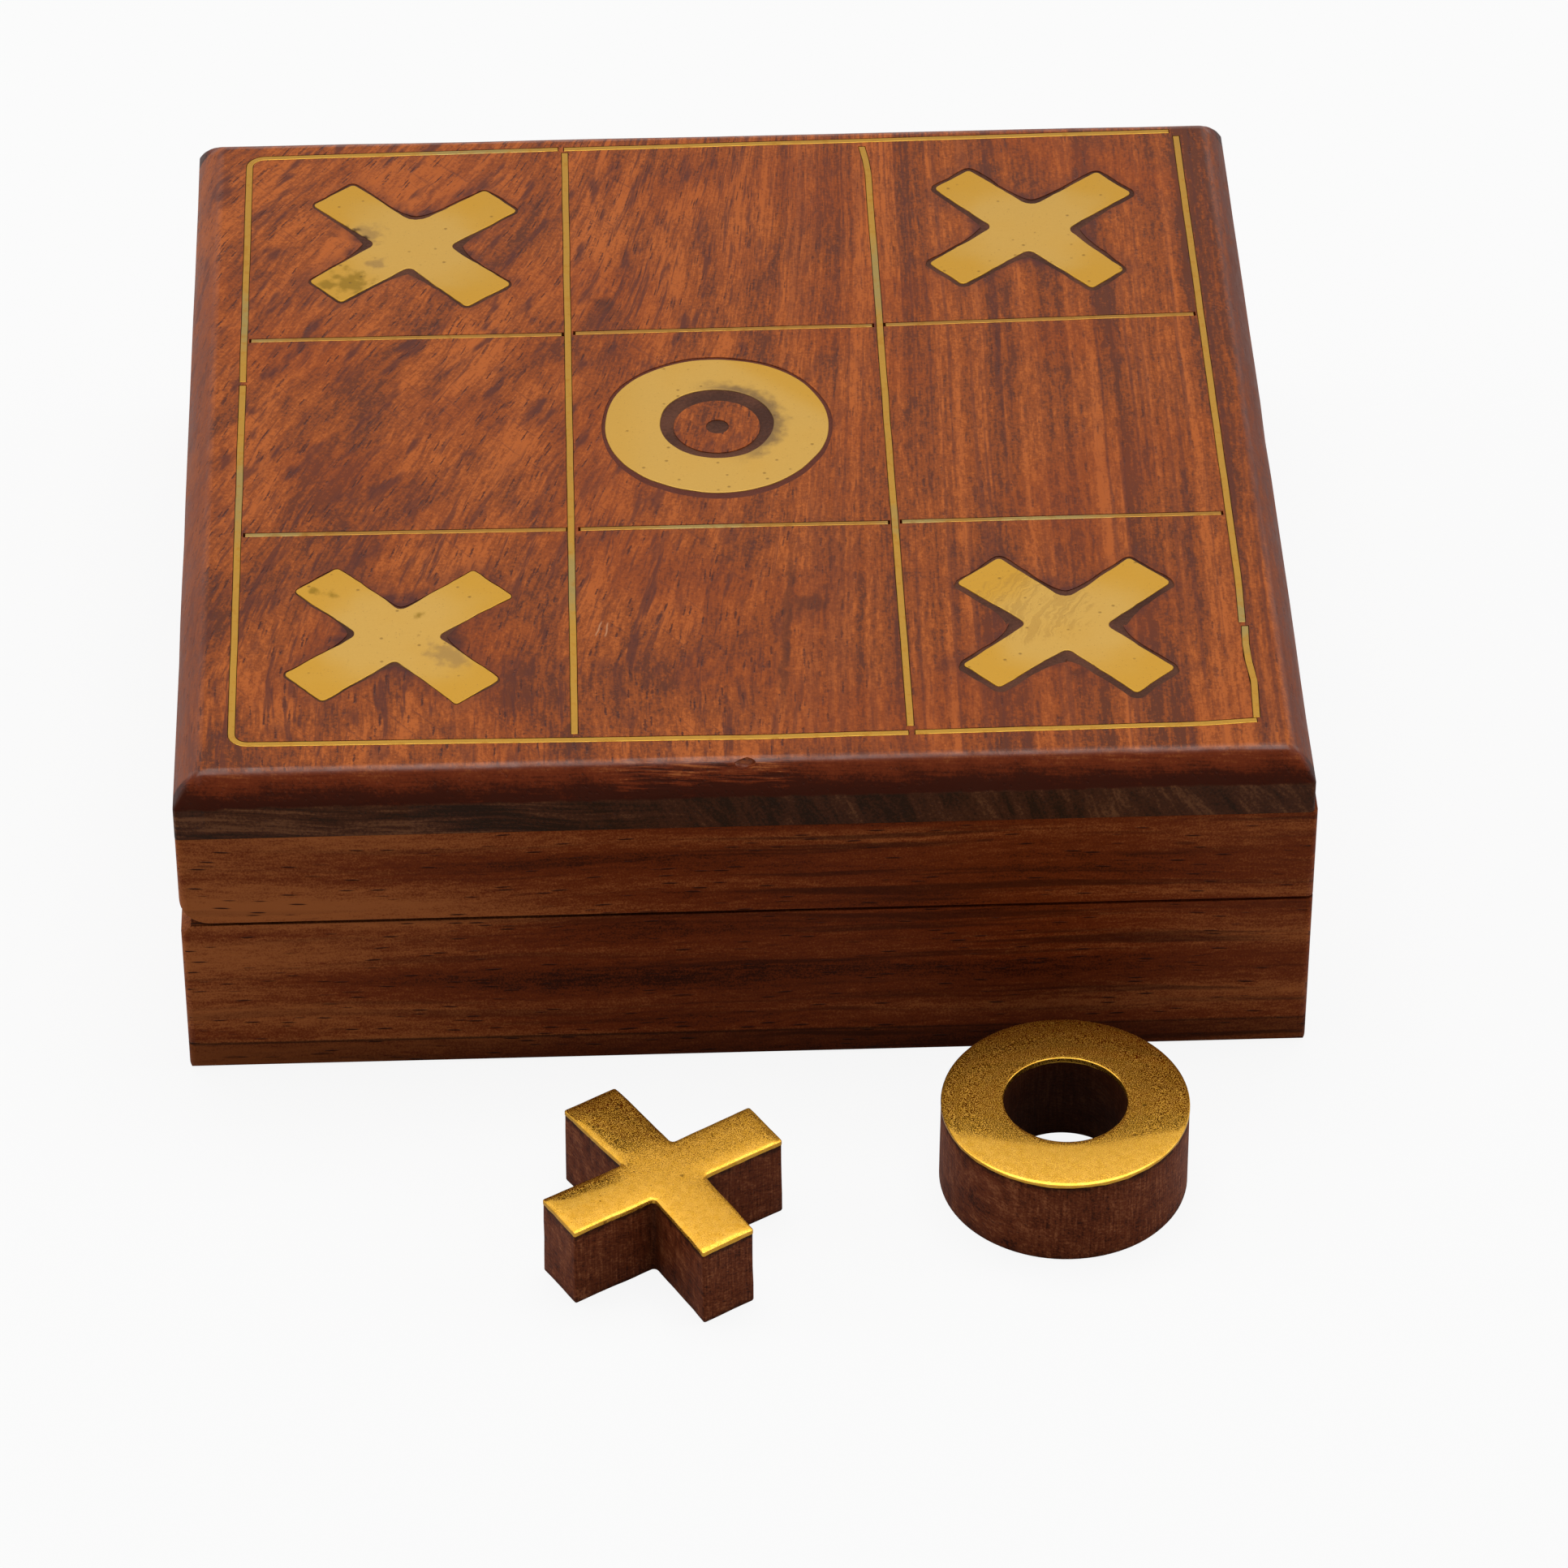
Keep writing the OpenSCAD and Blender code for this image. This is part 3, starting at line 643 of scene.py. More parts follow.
def golden(f, mottle):
    """A mask of the more golden brass: the tips of the crosses, and the ring's left and back right."""
    reach = smaller(*[away_from(f, at) for at in CROSS_AT.values()])
    tip = fade(reach, 4, 13) * fade(reach, 18, 16) + mottle * 1.2
    ring_x, ring_y = RING_AT
    rim = larger(fade(f.x, ring_x - 6, ring_x - 12) * 0.4, fade(f.x + f.y, ring_x + ring_y + 11, 17) * 0.8)
    return fade(larger(tip, rim * fade(away_from(f, RING_AT), 16, 15)), 0, 1)


def make_inlay_brass():
    f = finish_here("inlay_brass")
    mottle = cloud(f, f.here, 0.12)
    ragged = cloud(f, f.here, 0.7, 3)
    rubbed = cloud(f, stretched(f, 0.5, 5, 1), 1, 3, 0.6)
    body = mixed(f, golden(f, mottle), BRASS_PALE, BRASS_GOLD)
    body = mixed(f, fade(fine_grit(f), -0.3, 0.3) * 0.12, body, BRASS_GRIT)
    for marks, strength, tone in BRASS_MARKS:
        body = mixed(f, spots_of(f, ragged, marks) * strength, body, tone)
    beside = f.x - HOLE_AT[0] + (f.y - HOLE_AT[1]) * 0.3
    darkening = fade(away_from(f, HOLE_AT) + ragged * 3.5, 6.6, 8.8, 1, 0) * fade(beside, -2, 5)
    body = mixed(f, darkening * 0.75, body, HOLE_GRIME)
    strokes = (away_from(f, FILED_ROUND) + ragged * 1.6, f.y + f.x, f.z)
    filed = bands(f, strokes, 0.55, 9, 2, 0.5) * fade(away_from(f, FILED_CENTRE) + ragged * 6, 8, 5)
    body = mixed(f, fade(abs(filed), 0.02, 0.12) * 0.3, body, FILED_TONE)
    specks = larger(pits(f, 2.4, 0.5) * 0.8, pits(f, 0.7, 0.4))
    body = mixed(f, specks * 0.55, body, BRASS_PIT)
    rough = fade(mottle + rubbed * 0.4, -0.3, 0.3, 0.5, 0.58)
    return closed_brass(f, body, rough, rubbed * 0.25 - specks + filed * 4, 0.02)


INLAY_BRASS = make_inlay_brass()
print("finish:", INLAY_BRASS.name, "with", len(INLAY_BRASS.node_tree.nodes), "nodes")

# %% Strip brass
DULLED = ((-57, -10, 6), (-18.6, -28, 5), (-53, -18, 3.5), (21, -18.1, 3), (36, -18.1, 6), (-4, -18.2, 5),
          (57, -38, 4), (-57, 24, 5), (18.4, 30, 7), (-30, 58, 6))
DULL_TONE = colour(142, 126, 78)


def make_strip_brass(name, bright, deep):
    f = finish_here(name)
    mottle = cloud(f, f.here, 0.9, 3, 0.6)
    body = mixed(f, spots_of(f, mottle * 0.3, DULLED) * 0.75, bright, DULL_TONE)
    body = mixed(f, fade(mottle, 0.0, 0.2) * 0.45, body, deep)
    return closed_brass(f, body, fade(mottle, -0.3, 0.3, 0.34, 0.52), mottle, 0.012)


STRIP_BRASS = make_strip_brass("strip_brass", colour(168, 126, 50), colour(146, 98, 28))
SHORT_STRIP_BRASS = make_strip_brass("short_strip_brass", colour(150, 108, 46), colour(124, 82, 26))
print("finishes:", STRIP_BRASS.name, SHORT_STRIP_BRASS.name)

# %% Plate brass
LOOSE_CROSS = (-10.4, -93.9)
LOOSE_TURN = 31.6
PITTED = ((-12.6, -93.4, 3.2), (-16.6, -97.6, 1.6), (-8.6, -97.4, 1.4))
PLATE_TONES = (colour(204, 151, 48), colour(218, 166, 68))
PLATE_PIT = colour(84, 50, 14)


def make_plate_brass(name, rough_low, rough_high):
    """Brushed brass. Its grain is so fine that rough and bright places average out to a soft sheen. Two
    arms of the loose cross are duller."""
    f = finish_here(name)
    swell = cloud(f, f.here, 0.12)
    grain = cloud(f, stretched(f, 8, 13, 8), 1, 2, 0.7)
    mottle = cloud(f, f.here, 1.4, 3, 0.65)
    body = mixed(f, fade(mottle, -0.25, 0.25), *PLATE_TONES)
    patch = spots_of(f, mottle * 0.4, PITTED)
    specks = larger(pits(f, 1.5, 0.75) * patch, pits(f, 0.6, 0.25) * 0.7)
    body = mixed(f, specks * 0.9, body, PLATE_PIT)
    along, across = turned(f, LOOSE_CROSS, math.radians(LOOSE_TURN))
    matt = larger(fade(along, -7, -3), fade(across, 0.6, -0.2)) * fade(across, 6, 2.5)
    matt = matt * fade(away_from(f, LOOSE_CROSS), 18, 16)
    rough = fade(grain + matt * 0.05, -0.03, 0.06, rough_low, rough_high) + matt * 0.09
    return closed_brass(f, body, rough, swell * 0.9 - specks * 0.6, 0.03)


PLATE_BRASS = make_plate_brass("plate_brass", 0.07, 0.44)
HINGE_BRASS = make_plate_brass("hinge_brass", 0.26, 0.42)
print("finishes:", PLATE_BRASS.name, HINGE_BRASS.name)

# %% [markdown]
# The filler and the wood of the playing pieces
#
# The inlay was bedded in a mix of glue and sawdust that has set nearly black. The playing pieces are cut
# from the same wood as the box but left rougher, so their sides show saw marks. Each point of a piece says
# how far up it is and how deep in shade, as the attributes "up" and "shade". Shade is painted into the
# wood's colour from "shade", and from "up" the wood is darker just under the plate and at the foot.

# %% Filler and piece wood
FILLER_TONES = (colour(68, 42, 34), colour(96, 60, 46))
FILLER_RED = colour(104, 54, 44)
PIECE_TONES = (colour(46, 16, 8), colour(102, 46, 22), colour(150, 88, 54))
PIECE_PORE, PIECE_DARK_AND_SHADE = colour(40, 18, 14), colour(24, 9, 4)


def make_filler():
    f = finish_here("dark_filler")
    crumbs = cloud(f, f.here, 2.2, 4, 0.65)
    tone = crumbs * 0.6 + cloud(f, f.here, 0.12) * 1.4
    away = away_from(f, RING_AT)
    red = fade(away, 9, 11) * fade(away, 17, 16) * 0.7
    body = mixed(f, red, mixed(f, fade(tone, -0.2, 0.2), *FILLER_TONES), FILLER_RED)
    return closed_wood(f, body, 0.6, 0.12, crumbs, 0.12)


def make_piece_wood():
    f = finish_here("piece_wood")
    ragged = cloud(f, f.here, 0.9, 3, 0.6)
    grain = (f.x * 0.8 + f.z * 0.6 + cloud(f, f.here, 0.07) * 6, f.y, f.z)
    fibres = bands(f, grain, 0.3, 3)
    sawn = cloud(f, joined(f, f.x * 3.2 + f.y * 3.2, f.x * -0.2, f.z * 0.3), 1, 3, 0.6)
    tone = 0.5 + bands(f, grain, 1.8, 18) * 0.8 + fibres * 1.1 + sawn * 1.2 + fine_grit(f) * 0.9
    dashes = pores(f, grain, 0.5)
    body = mixed(f, dashes * 0.55, wood_colour(f, tone, *PIECE_TONES), PIECE_PORE)
    shade, up = [f.node("Attribute", {"attribute_name": name}, {}, 2) for name in ("shade", "up")]
    # Painted shade where "shade" is high, in a cross's notches and inside a ring's hole; from "up", darker
    # just under the plate and at the foot.
    darkening = fade(up + ragged * 0.25, 0.9, 1.0) * 0.8 + fade(up + ragged * 0.2, 0.08, 0.0) * 0.5
    body = mixed(f, larger(shade * 0.8, darkening), body, PIECE_DARK_AND_SHADE)
    return closed_wood(f, body, 0.55, 0.1, sawn * 0.8 + fibres * 0.4 - dashes * 0.6, 0.1)


FILLER = make_filler()
PIECE_WOOD = make_piece_wood()
print("finishes:", FILLER.name, PIECE_WOOD.name)

# %% [markdown]
# From a bmesh to a piece
#
# Every piece ends the same way: its mesh is written out with smooth shading up to an edge angle, while
# faces that lie square to an axis are really flat and stay so. It gets its finish, rides on the body that
# its CAD node rides on, and takes that node's place. Every trace of a hand's work comes from seeded noise,
# so the same cuts are made on each run.

# %% Finishing a piece
SMOOTH_UP_TO = math.radians(32)
TRULY_FLAT = 0.99999
SAME_PLACE = MM / 1000
UP = Vector((0, 0, 1))
NOISE_SEED = 7
BODY_OF = {n: b for b, ns in frame["record"]["behaviour"]["bodies"].items() for n in ns}


def piece(name, bm, material, node):
    """Turns a bmesh into a finished piece that stands for its CAD node."""
    bmesh.ops.recalc_face_normals(bm, faces=bm.faces)
    made = as_object(bm, name, material)
    made.data.set_sharp_from_angle(angle=SMOOTH_UP_TO)
    for face in made.data.polygons:
        face.use_smooth = max(abs(c) for c in face.normal) < TRULY_FLAT
    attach(made, BODY_OF[node])
    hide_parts(node)


noise.seed_set(NOISE_SEED)


def drift(point, amount, every, seed):
    """A smooth seeded offset: how far a hand's cut strays at this point."""
    return noise.noise_vector(point / every + Vector((seed, 2 * seed, 3 * seed))) * amount


def sideways(vert, off):
    """Moves a point, and keeps its height."""
    vert.co += Vector((off.x, off.y, 0))


def arrises(bm):
    """The outer edges that are sharper than 50 degrees."""
    return [e for e in bm.edges if e.is_manifold and e.calc_face_angle_signed() > math.radians(50)]


def rounded(bm, geom, width, segments=2, affect="EDGES"):
    """Rounds edges, or the corners of a flat outline."""
    bmesh.ops.bevel(bm, geom=geom, offset=width, segments=segments, profile=0.5, affect=affect,
                    material=-1, clamp_overlap=True)


def kept_within(bm, low, high):
    """Holds every point inside a box."""
    for vert in bm.verts:
        vert.co = [min(max(c, least), most) for c, least, most in zip(vert.co, low, high)]


print("bodies of the nodes:", len(BODY_OF))

# %% [markdown]
# Walls, rails, panel and dividers
#
# These CAD nodes already have the right shape, with their housings and hinge mortises. A cabinet maker
# takes the sharp arrises off, so each gets a merged copy with its outer edges bevelled by an eighth of a
# millimetre. That soft edge is what catches the light along the joints.

# %% Frame pieces
ARRIS = 0.12 * MM


def cad_copy(node):
    """A merged copy of a CAD node, whose own mesh is loose triangles."""
    bm = bmesh.new()
    bm.from_mesh(frame["nodes"][node].data)
    bmesh.ops.remove_doubles(bm, verts=bm.verts, dist=SAME_PLACE)
    bmesh.ops.dissolve_limit(bm, angle_limit=math.radians(1), verts=bm.verts, edges=bm.edges)
    return bm


def frame_piece(node, material):
    bm = cad_copy(node)
    rounded(bm, arrises(bm), ARRIS)
    kept_within(bm, *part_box(node))
    piece(node + "_eased", bm, material, node)


for side in ("front", "back", "left", "right"):
    axis = "x" if side in ("front", "back") else "y"
    for node in (f"base_{side}_wall", f"lid_{side}_rail", f"divider_{side}"):
        frame_piece(node, FRAME_WOOD[axis])
frame_piece("bottom_panel", PANEL_WOOD)

# %% [markdown]
# Outlines for the inlay
#
# The brass figures were sawn and filed by hand, and each pocket was cut round its own figure, so no two
# gaps are alike. One flat master holds it all: the brass outline, and round it a collar of filler whose
# width changes as it goes. The brass, the filler and the pocket's cutter are all lifted from that master,
# so they fit each other exactly. Faces are told apart by their material number.

# %% Collars and outlines
WOOD, BRASS, DARK = 0, 1, 2
BOARD_LOW, BOARD_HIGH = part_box("lid_board")
TOP = BOARD_HIGH.z
EVEN_ROUNDS = 4


def new_verts(result):
    return [g for g in result["geom"] if isinstance(g, bmesh.types.BMVert)]


def new_faces(result):
    return [g for g in result["geom"] if isinstance(g, bmesh.types.BMFace)]


def refine(bm, longest):
    """Splits edges so that none is longer than this."""
    for edge in bm.edges[:]:
        cuts = int(edge.calc_length() / longest)
        if cuts:
            bmesh.ops.subdivide_edges(bm, edges=[edge], cuts=cuts)


def facing_up(bm, tag):
    """Turns a flat outline's one face up, tags it, and gives it back in a list."""
    faces = bm.faces[:]
    faces[0].normal_update()
    if faces[0].normal.z < 0:
        bmesh.ops.reverse_faces(bm, faces=faces)
    faces[0].material_index = tag
    return faces


def rim_outside(bm):
    return [e for e in bm.edges if e.is_boundary]


def collar(bm, inner, width, tag):
    """Adds a flat collar round some faces. width(point, outward) says how wide it is there."""
    ring_edges = rim_outside(bm)
    outward = {}
    for edge in ring_edges:
        loop = next(l for l in edge.link_loops if l.face in inner)
        along = (loop.link_loop_next.vert.co - loop.vert.co).normalized()
        for vert in edge.verts:
            outward[vert] = outward.get(vert, Vector()) + along.cross(UP)
    sides = {tuple(v.co): o.normalized() for v, o in outward.items()}
    made = bmesh.ops.extrude_edge_only(bm, edges=ring_edges)
    for vert in new_verts(made):
        at, side = vert.co.copy(), sides[tuple(vert.co)]
        vert.co = at + side * width(at, side)
    for face in new_faces(made):
        face.material_index = tag
    return new_faces(made)


def evened(bm, middle, reach):
    """Evens out the outermost outline near a middle, so that a wide collar doesn't fold in a notch."""
    for _ in range(EVEN_ROUNDS):
        beside = {}
        for edge in rim_outside(bm):
            for vert in edge.verts:
                beside[vert] = beside.get(vert, Vector()) + edge.other_vert(vert).co
        for vert, both in beside.items():
            if math.hypot(vert.co.x - middle.x, vert.co.y - middle.y) < reach:
                vert.co = vert.co / 2 + both / 4


def lifted(master, tags, low, high):
    """A closed solid between two heights, under the faces of a master that have these tags."""
    bm = master.copy()
    spare = [f for f in bm.faces if f.material_index not in tags]
    bmesh.ops.delete(bm, geom=spare, context="FACES")
    for vert in bm.verts:
        vert.co.z = high
    made = bmesh.ops.extrude_face_region(bm, geom=bm.faces[:])
    for vert in new_verts(made):
        vert.co.z = low
    for face in bm.faces:
        face.material_index = 0
    bmesh.ops.recalc_face_normals(bm, faces=bm.faces)
    return bm


def roughed(bm, amount, every, seed):
    """Moves an outline's points sideways as a hand-held saw would."""
    for vert in bm.verts:
        sideways(vert, drift(vert.co, amount, every, seed) + drift(vert.co, amount / 2, every / 3, seed + 5))


print("top of the board:", round(TOP / MM, 2), "mm")

# %% [markdown]
# The four crosses
#
# A cross starts as a grid of three by three faces with its corner faces taken away. That leaves twelve
# corners. Each arm then gets its own reach and its own width on either side, as it was sawn, the tips and
# roots are rounded by a vertex bevel, and the edge is roughened.

# %% Cross outlines
def cross_outline(arms, root_at, tip_r, root_r, upper_root_r):
    """A flat cross round the origin. An arm is its reach and its two half widths, left side first."""
    bm = bmesh.new()
    bmesh.ops.create_grid(bm, x_segments=3, y_segments=3, size=1)
    corners = [f for f in bm.faces if all(abs(c) > 0.5 for c in f.calc_center_median()[:2])]
    bmesh.ops.delete(bm, geom=corners, context="FACES")
    roots = [v for v in bm.verts if max(abs(v.co.x), abs(v.co.y)) < 0.5]
    tips = [v for v in bm.verts if v not in roots]
    for vert in roots:
        vert.co = Vector((math.copysign(root_at, vert.co.x), math.copysign(root_at, vert.co.y), 0))
    for turn, (reach, left, right) in enumerate(arms):
        spin = Matrix.Rotation(math.radians(90 * turn), 3, "Z")
        for vert in [v for v in tips if (spin.transposed() @ v.co).x > 0.9]:
            side = left if (spin.transposed() @ vert.co).y > 0 else -right
            vert.co = spin @ Vector((reach, side, 0))
            tips.remove(vert)
    bmesh.ops.dissolve_faces(bm, faces=bm.faces[:])
    inner = [v for v in bm.verts if v.co.length < 2 * root_at]
    upper = [v for v in inner if v.co.x > 0 and v.co.y > 0]
    outer = [v for v in bm.verts if v not in inner]
    lower = [v for v in inner if v not in upper]
    for verts, radius in ((outer, tip_r), (lower, root_r), (upper, upper_root_r)):
        rounded(bm, verts, radius, 4, "VERTICES")
    return bm


print("corners of a cross:", len(cross_outline([(3, 1, 1)] * 4, 1, 0, 0, 0).verts))

# %% Crosses of the inlay
ROOT_AT = 3.15 * MM
TIP_R, ROOT_R = 0.55 * MM, 0.9 * MM
INLAY_CROSSES = {
    "back_left": (40.6, ((14.1, 2.8, 3.3), (14.6, 3.4, 3.2), (14.0, 3.2, 2.8), (14.2, 3.5, 3.5)), 2.2),
    "back_right": (40.0, ((14.3, 3.2, 3.0), (14.0, 2.9, 3.0), (14.1, 3.2, 2.9), (14.0, 2.5, 3.1)), 1.6),
    "front_left": (41.0, ((14.2, 3.2, 3.6), (14.1, 3.4, 3.2), (14.0, 3.4, 3.4), (14.0, 3.2, 3.5)), 0.9),
    "front_right": (42.1, ((14.0, 3.5, 3.1), (13.9, 3.5, 3.2), (13.7, 2.8, 3.0), (14.2, 3.0, 3.4)), 1.5),
}
FILLER_WIDTHS = {"back_left": (0.3, 0.25, 1.1), "back_right": (0.5, 0.3, 0.7), "front_left": (0.02, 0.3, 0.8),
                 "front_right": (0.42, 0.75, 1.7)}
LEAST_FILLER = 0.06
FINE_CUT = 0.9 * MM
NOTCH_FROM, NOTCH_TO = 4.2 * MM, 6.8 * MM
BACK_NOTCH, BACK_NOTCH_SHARE = 2.8 * MM, 0.3
EVEN_REACH = NOTCH_TO * 1.3


def inlay_cross(place):
    turn, arms, upper_root = INLAY_CROSSES[place]
    all_round, in_front, in_notch = FILLER_WIDTHS[place]
    low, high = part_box("inlay_cross_" + place)
    middle = (low + high) / 2

    def collar_width(at, side):
        """The filler's width: uneven, wider on the side towards the player and in the notches."""
        uneven = noise.noise(at / (5 * MM)) * 0.3 + noise.noise(at / (1.4 * MM)) * 0.1
        reach = math.hypot(at.x - middle.x, at.y - middle.y)
        notch = min(1, max(0, (NOTCH_TO - reach) / (NOTCH_TO - NOTCH_FROM)))
        if at.y - middle.y > BACK_NOTCH:
            notch *= BACK_NOTCH_SHARE
        wide = all_round + uneven + in_front * max(0, -side.y) + in_notch * notch
        return max(LEAST_FILLER, wide) * MM

    bm = cross_outline([[v * MM for v in arm] for arm in arms], ROOT_AT, TIP_R, ROOT_R, upper_root * MM)
    refine(bm, FINE_CUT)
    seat = Matrix.Translation(middle) @ Matrix.Rotation(math.radians(turn), 4, "Z")
    bmesh.ops.transform(bm, matrix=seat, verts=bm.verts)
    roughed(bm, 0.14 * MM, 3 * MM, 7)
    for vert in bm.verts:
        vert.co.z = TOP
    collar(bm, facing_up(bm, BRASS), collar_width, DARK)
    evened(bm, middle, EVEN_REACH)
    return bm


masters = {"inlay_cross_" + place: inlay_cross(place) for place in INLAY_CROSSES}
print("crosses:", {n: len(m.verts) for n, m in masters.items()})

# %% [markdown]
# The ring
#
# It grows from the middle: a plugged pilot hole, the wooden island round it, dark filler, the brass, and
# filler again. Every step is one more collar.

# %% Ring of the inlay
RING_STEPS = 96
PILOT_R = 1.35 * MM
ISLAND_OFF = Vector((-0.25, 0, 0)) * MM
RING_COLLARS = ((3.7, 0, WOOD), (1.65, -0.68, DARK), (6.4, 0.32, BRASS), (0.42, 0.75, DARK))
LEAST_COLLAR = 0.12


def inlay_ring():
    low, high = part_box("inlay_ring")
    centre = Vector(((low.x + high.x) / 2, (low.y + high.y) / 2, TOP))
    bm = bmesh.new()
    bmesh.ops.create_circle(bm, cap_ends=True, segments=RING_STEPS, radius=PILOT_R,
                            matrix=Matrix.Translation(centre + ISLAND_OFF))
    inner = facing_up(bm, DARK)
    for step, (width, in_front, tag) in enumerate(RING_COLLARS):
        def ragged(at, side, width=width, in_front=in_front, step=step):
            """The collar's width: uneven, and wider or narrower on the side towards the player."""
            uneven = noise.noise(at / (4 * MM) + UP * step) * 0.2 + noise.noise(at / (1.2 * MM)) * 0.05
            front = -side.y if width > 1 else max(0, -side.y) ** 1.5
            return max(LEAST_COLLAR, width + uneven * min(1, width) + in_front * front) * MM
        inner = collar(bm, inner, ragged, tag)
    return bm


masters["inlay_ring"] = inlay_ring()
print("ring:", len(masters["inlay_ring"].faces), "faces")

# %% [markdown]
# The brass strips
#
# Each strip was bent or cut by hand and pressed into a saw cut, so it wanders a little and some lines stand
# askew. A bar is drawn the way a strip is laid: a small end face, extruded along its run, spun round where
# the strip bends, and extruded again. The cutter for its groove is the same bar, a hair wider.

# %% Bars along a line
WIDE, NARROW = 0.8 * MM, 0.68 * MM
BEND_R = 1.8 * MM
BEND_STEPS = 6
STRIP_DEEP = 2.5 * MM
STRIP_STEP = 3 * MM
X, Y = Vector((1, 0, 0)), Vector((0, 1, 0))


def region(faces):
    """Faces with their edges and points. Extruded as a whole, they leave no wall inside."""
    edges = dict.fromkeys(e for f in faces for e in f.edges)
    return [*faces, *edges, *dict.fromkeys(v for f in faces for v in f.verts)]


def upright_face(across, tall, normal, at):
    """A bmesh with one upright face, as wide as across is long."""
    bm = bmesh.new()
    seat = Matrix((across, UP * tall, normal)).transposed().to_4x4()
    seat.translation = at
    bmesh.ops.create_grid(bm, x_segments=1, y_segments=1, size=0.5, matrix=seat)
    return bm


def bar(start, heading, runs, width, low, high):
    """Draws a bar along straight runs that left bends join."""
    at = Vector((start.x, start.y, (low + high) / 2))
    bm = upright_face(UP.cross(heading) * width, high - low, heading, at)
    end = bm.faces[:]
    for number, length in enumerate(runs):
        if number:
            across = UP.cross(heading)
            made = bmesh.ops.spin(bm, geom=region(end), cent=at + across * BEND_R, axis=UP,
                                  angle=math.radians(90), steps=BEND_STEPS)
            end = [g for g in made["geom_last"] if isinstance(g, bmesh.types.BMFace)]
            at = at + (across + heading) * BEND_R
            heading = across
        count = max(1, round(length / STRIP_STEP))
        for _ in range(count):
            made = bmesh.ops.extrude_face_region(bm, geom=region(end))
            end = new_faces(made)
            bmesh.ops.translate(bm, vec=heading * (length / count), verts=new_verts(made))
        at = at + heading * length
    return bm


print("strip widths:", WIDE / MM, NARROW / MM, "mm")

# %% [markdown]
# How far each strip strays
#
# A row lists places along the strip and how far its middle is off its line there, both in millimetres.

# %% Strips
STRAY = {
    "border_back_left": ((-57, -0.6), (-19, -0.05)),
    "border_back_right": ((-18.5, -0.05), (56, 1.05)),
    "border_front_left": ((-57, 0.4), (0, -0.5), (18, -0.35)),
    "border_front_right": ((19, -0.35), (50, -0.1), (57, 0.35)),
    "border_right_front": ((-55.6, 0), (-49, 0.3), (-44, -0.15), (-39.2, 0.1)),
    "border_right_back": ((-38.5, -0.15), (-30, 0.1), (58, 0)),
    "long_line_left": ((-56, -0.45), (58, 0.1)),
    "long_line_right": ((-56, -0.1), (53.6, 0.2), (57.6, -0.3)),
    "short_line_back_left": ((-57, -0.3), (-19, -0.4)),
    "short_line_back_middle": ((-18, -0.2), (18, 0)),
    "short_line_back_right": ((19, 0.1), (57, 0.9)),
    "short_line_front_left": ((-57, 0.1), (-19, -0.2)),
    "short_line_front_middle": ((-18, -0.2), (18, -0.3)),
    "short_line_front_right": ((19, -0.2), (57, 0)),
}
BENT = ("border_back_left", "border_front_left")
LINE_SHAKE = 0.05 * MM
LOOSE_END = 0.25 * MM
CORNER_Y = 57 * MM


def between(points, at):
    """Reads a value off a line through points, held flat beyond its ends."""
    for (a, low), (b, high) in zip(points, points[1:]):
        if at < b:
            return low + (high - low) * max(0, at - a) / (b - a)
    return points[-1][1]


def strip_run(name, play):
    """Where a strip starts, its heading, its straight runs and the axis that it strays along."""
    low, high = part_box(name)
    side, front, back = low.x + WIDE / 2, low.y + WIDE / 2, high.y - WIDE / 2
    across, along = high.x + play, high.y + play
    if name == "border_back_left":
        return Vector((across, back, 0)), -X, (across - side - BEND_R, back - BEND_R - low.y + play), 1
    if name == "border_front_left":
        return Vector((side, along, 0)), -Y, (along - front - BEND_R, across - side - BEND_R), 1
    middle, size = (low + high) / 2, high - low
    if size.x > size.y:
        return Vector((low.x - play, middle.y, 0)), X, (size.x + 2 * play,), 1
    return Vector((middle.x, low.y - play, 0)), Y, (size.y + 2 * play,), 0


def strip_solid(name, play=0, high=TOP):
    """A strip, or with play the cutter for its groove. A short strip's groove is cut too long."""
    short = name.startswith("short")
    start, heading, runs, stray_axis = strip_run(name, LOOSE_END if play and short else play)
    bm = bar(start, heading, runs, (NARROW if short else WIDE) + 2 * play, TOP - STRIP_DEEP, high)
    for vert in bm.verts:
        off = between(STRAY[name], vert.co[1 - stray_axis] / MM) * MM
        if name in BENT:
            off *= (vert.co.y / CORNER_Y) ** 2
        shake = drift(Vector((vert.co.x, vert.co.y, 0)), LINE_SHAKE, 5 * MM, 3)
        vert.co[stray_axis] += off
        sideways(vert, shake)
    bmesh.ops.recalc_face_normals(bm, faces=bm.faces)
    return bm


RUBBED = 0.09 * MM


def rubbed_top(bm, width, high=TOP):
    """Rounds the edges round a flat top."""
    rounded(bm, [e for e in arrises(bm) if all(abs(v.co.z - high) < SAME_PLACE for v in e.verts)], width)


for name in STRAY:
    strip = strip_solid(name)
    rubbed_top(strip, RUBBED)
    finish = SHORT_STRIP_BRASS if name.startswith("short") else STRIP_BRASS
    piece(name + "_strip", strip, finish, name)
print("strips:", len(STRAY))

# %% [markdown]
# Brass figures and filler
#
# The brass is lifted from the masters, with its rim rubbed round. The filler was scraped off level and has
# shrunk a little as it dried, so its surface lies just under the wood and isn't even.

# %% Brass figures and filler
POCKET_FLOOR = TOP - 1.5 * MM
FILLER_SUNK = 0.09 * MM
FILLER_UNEVEN = 0.1 * MM


def dented(vert, every, deep):
    """Sinks a point by an uneven amount."""
    vert.co.z -= abs(noise.noise(vert.co / every)) * deep


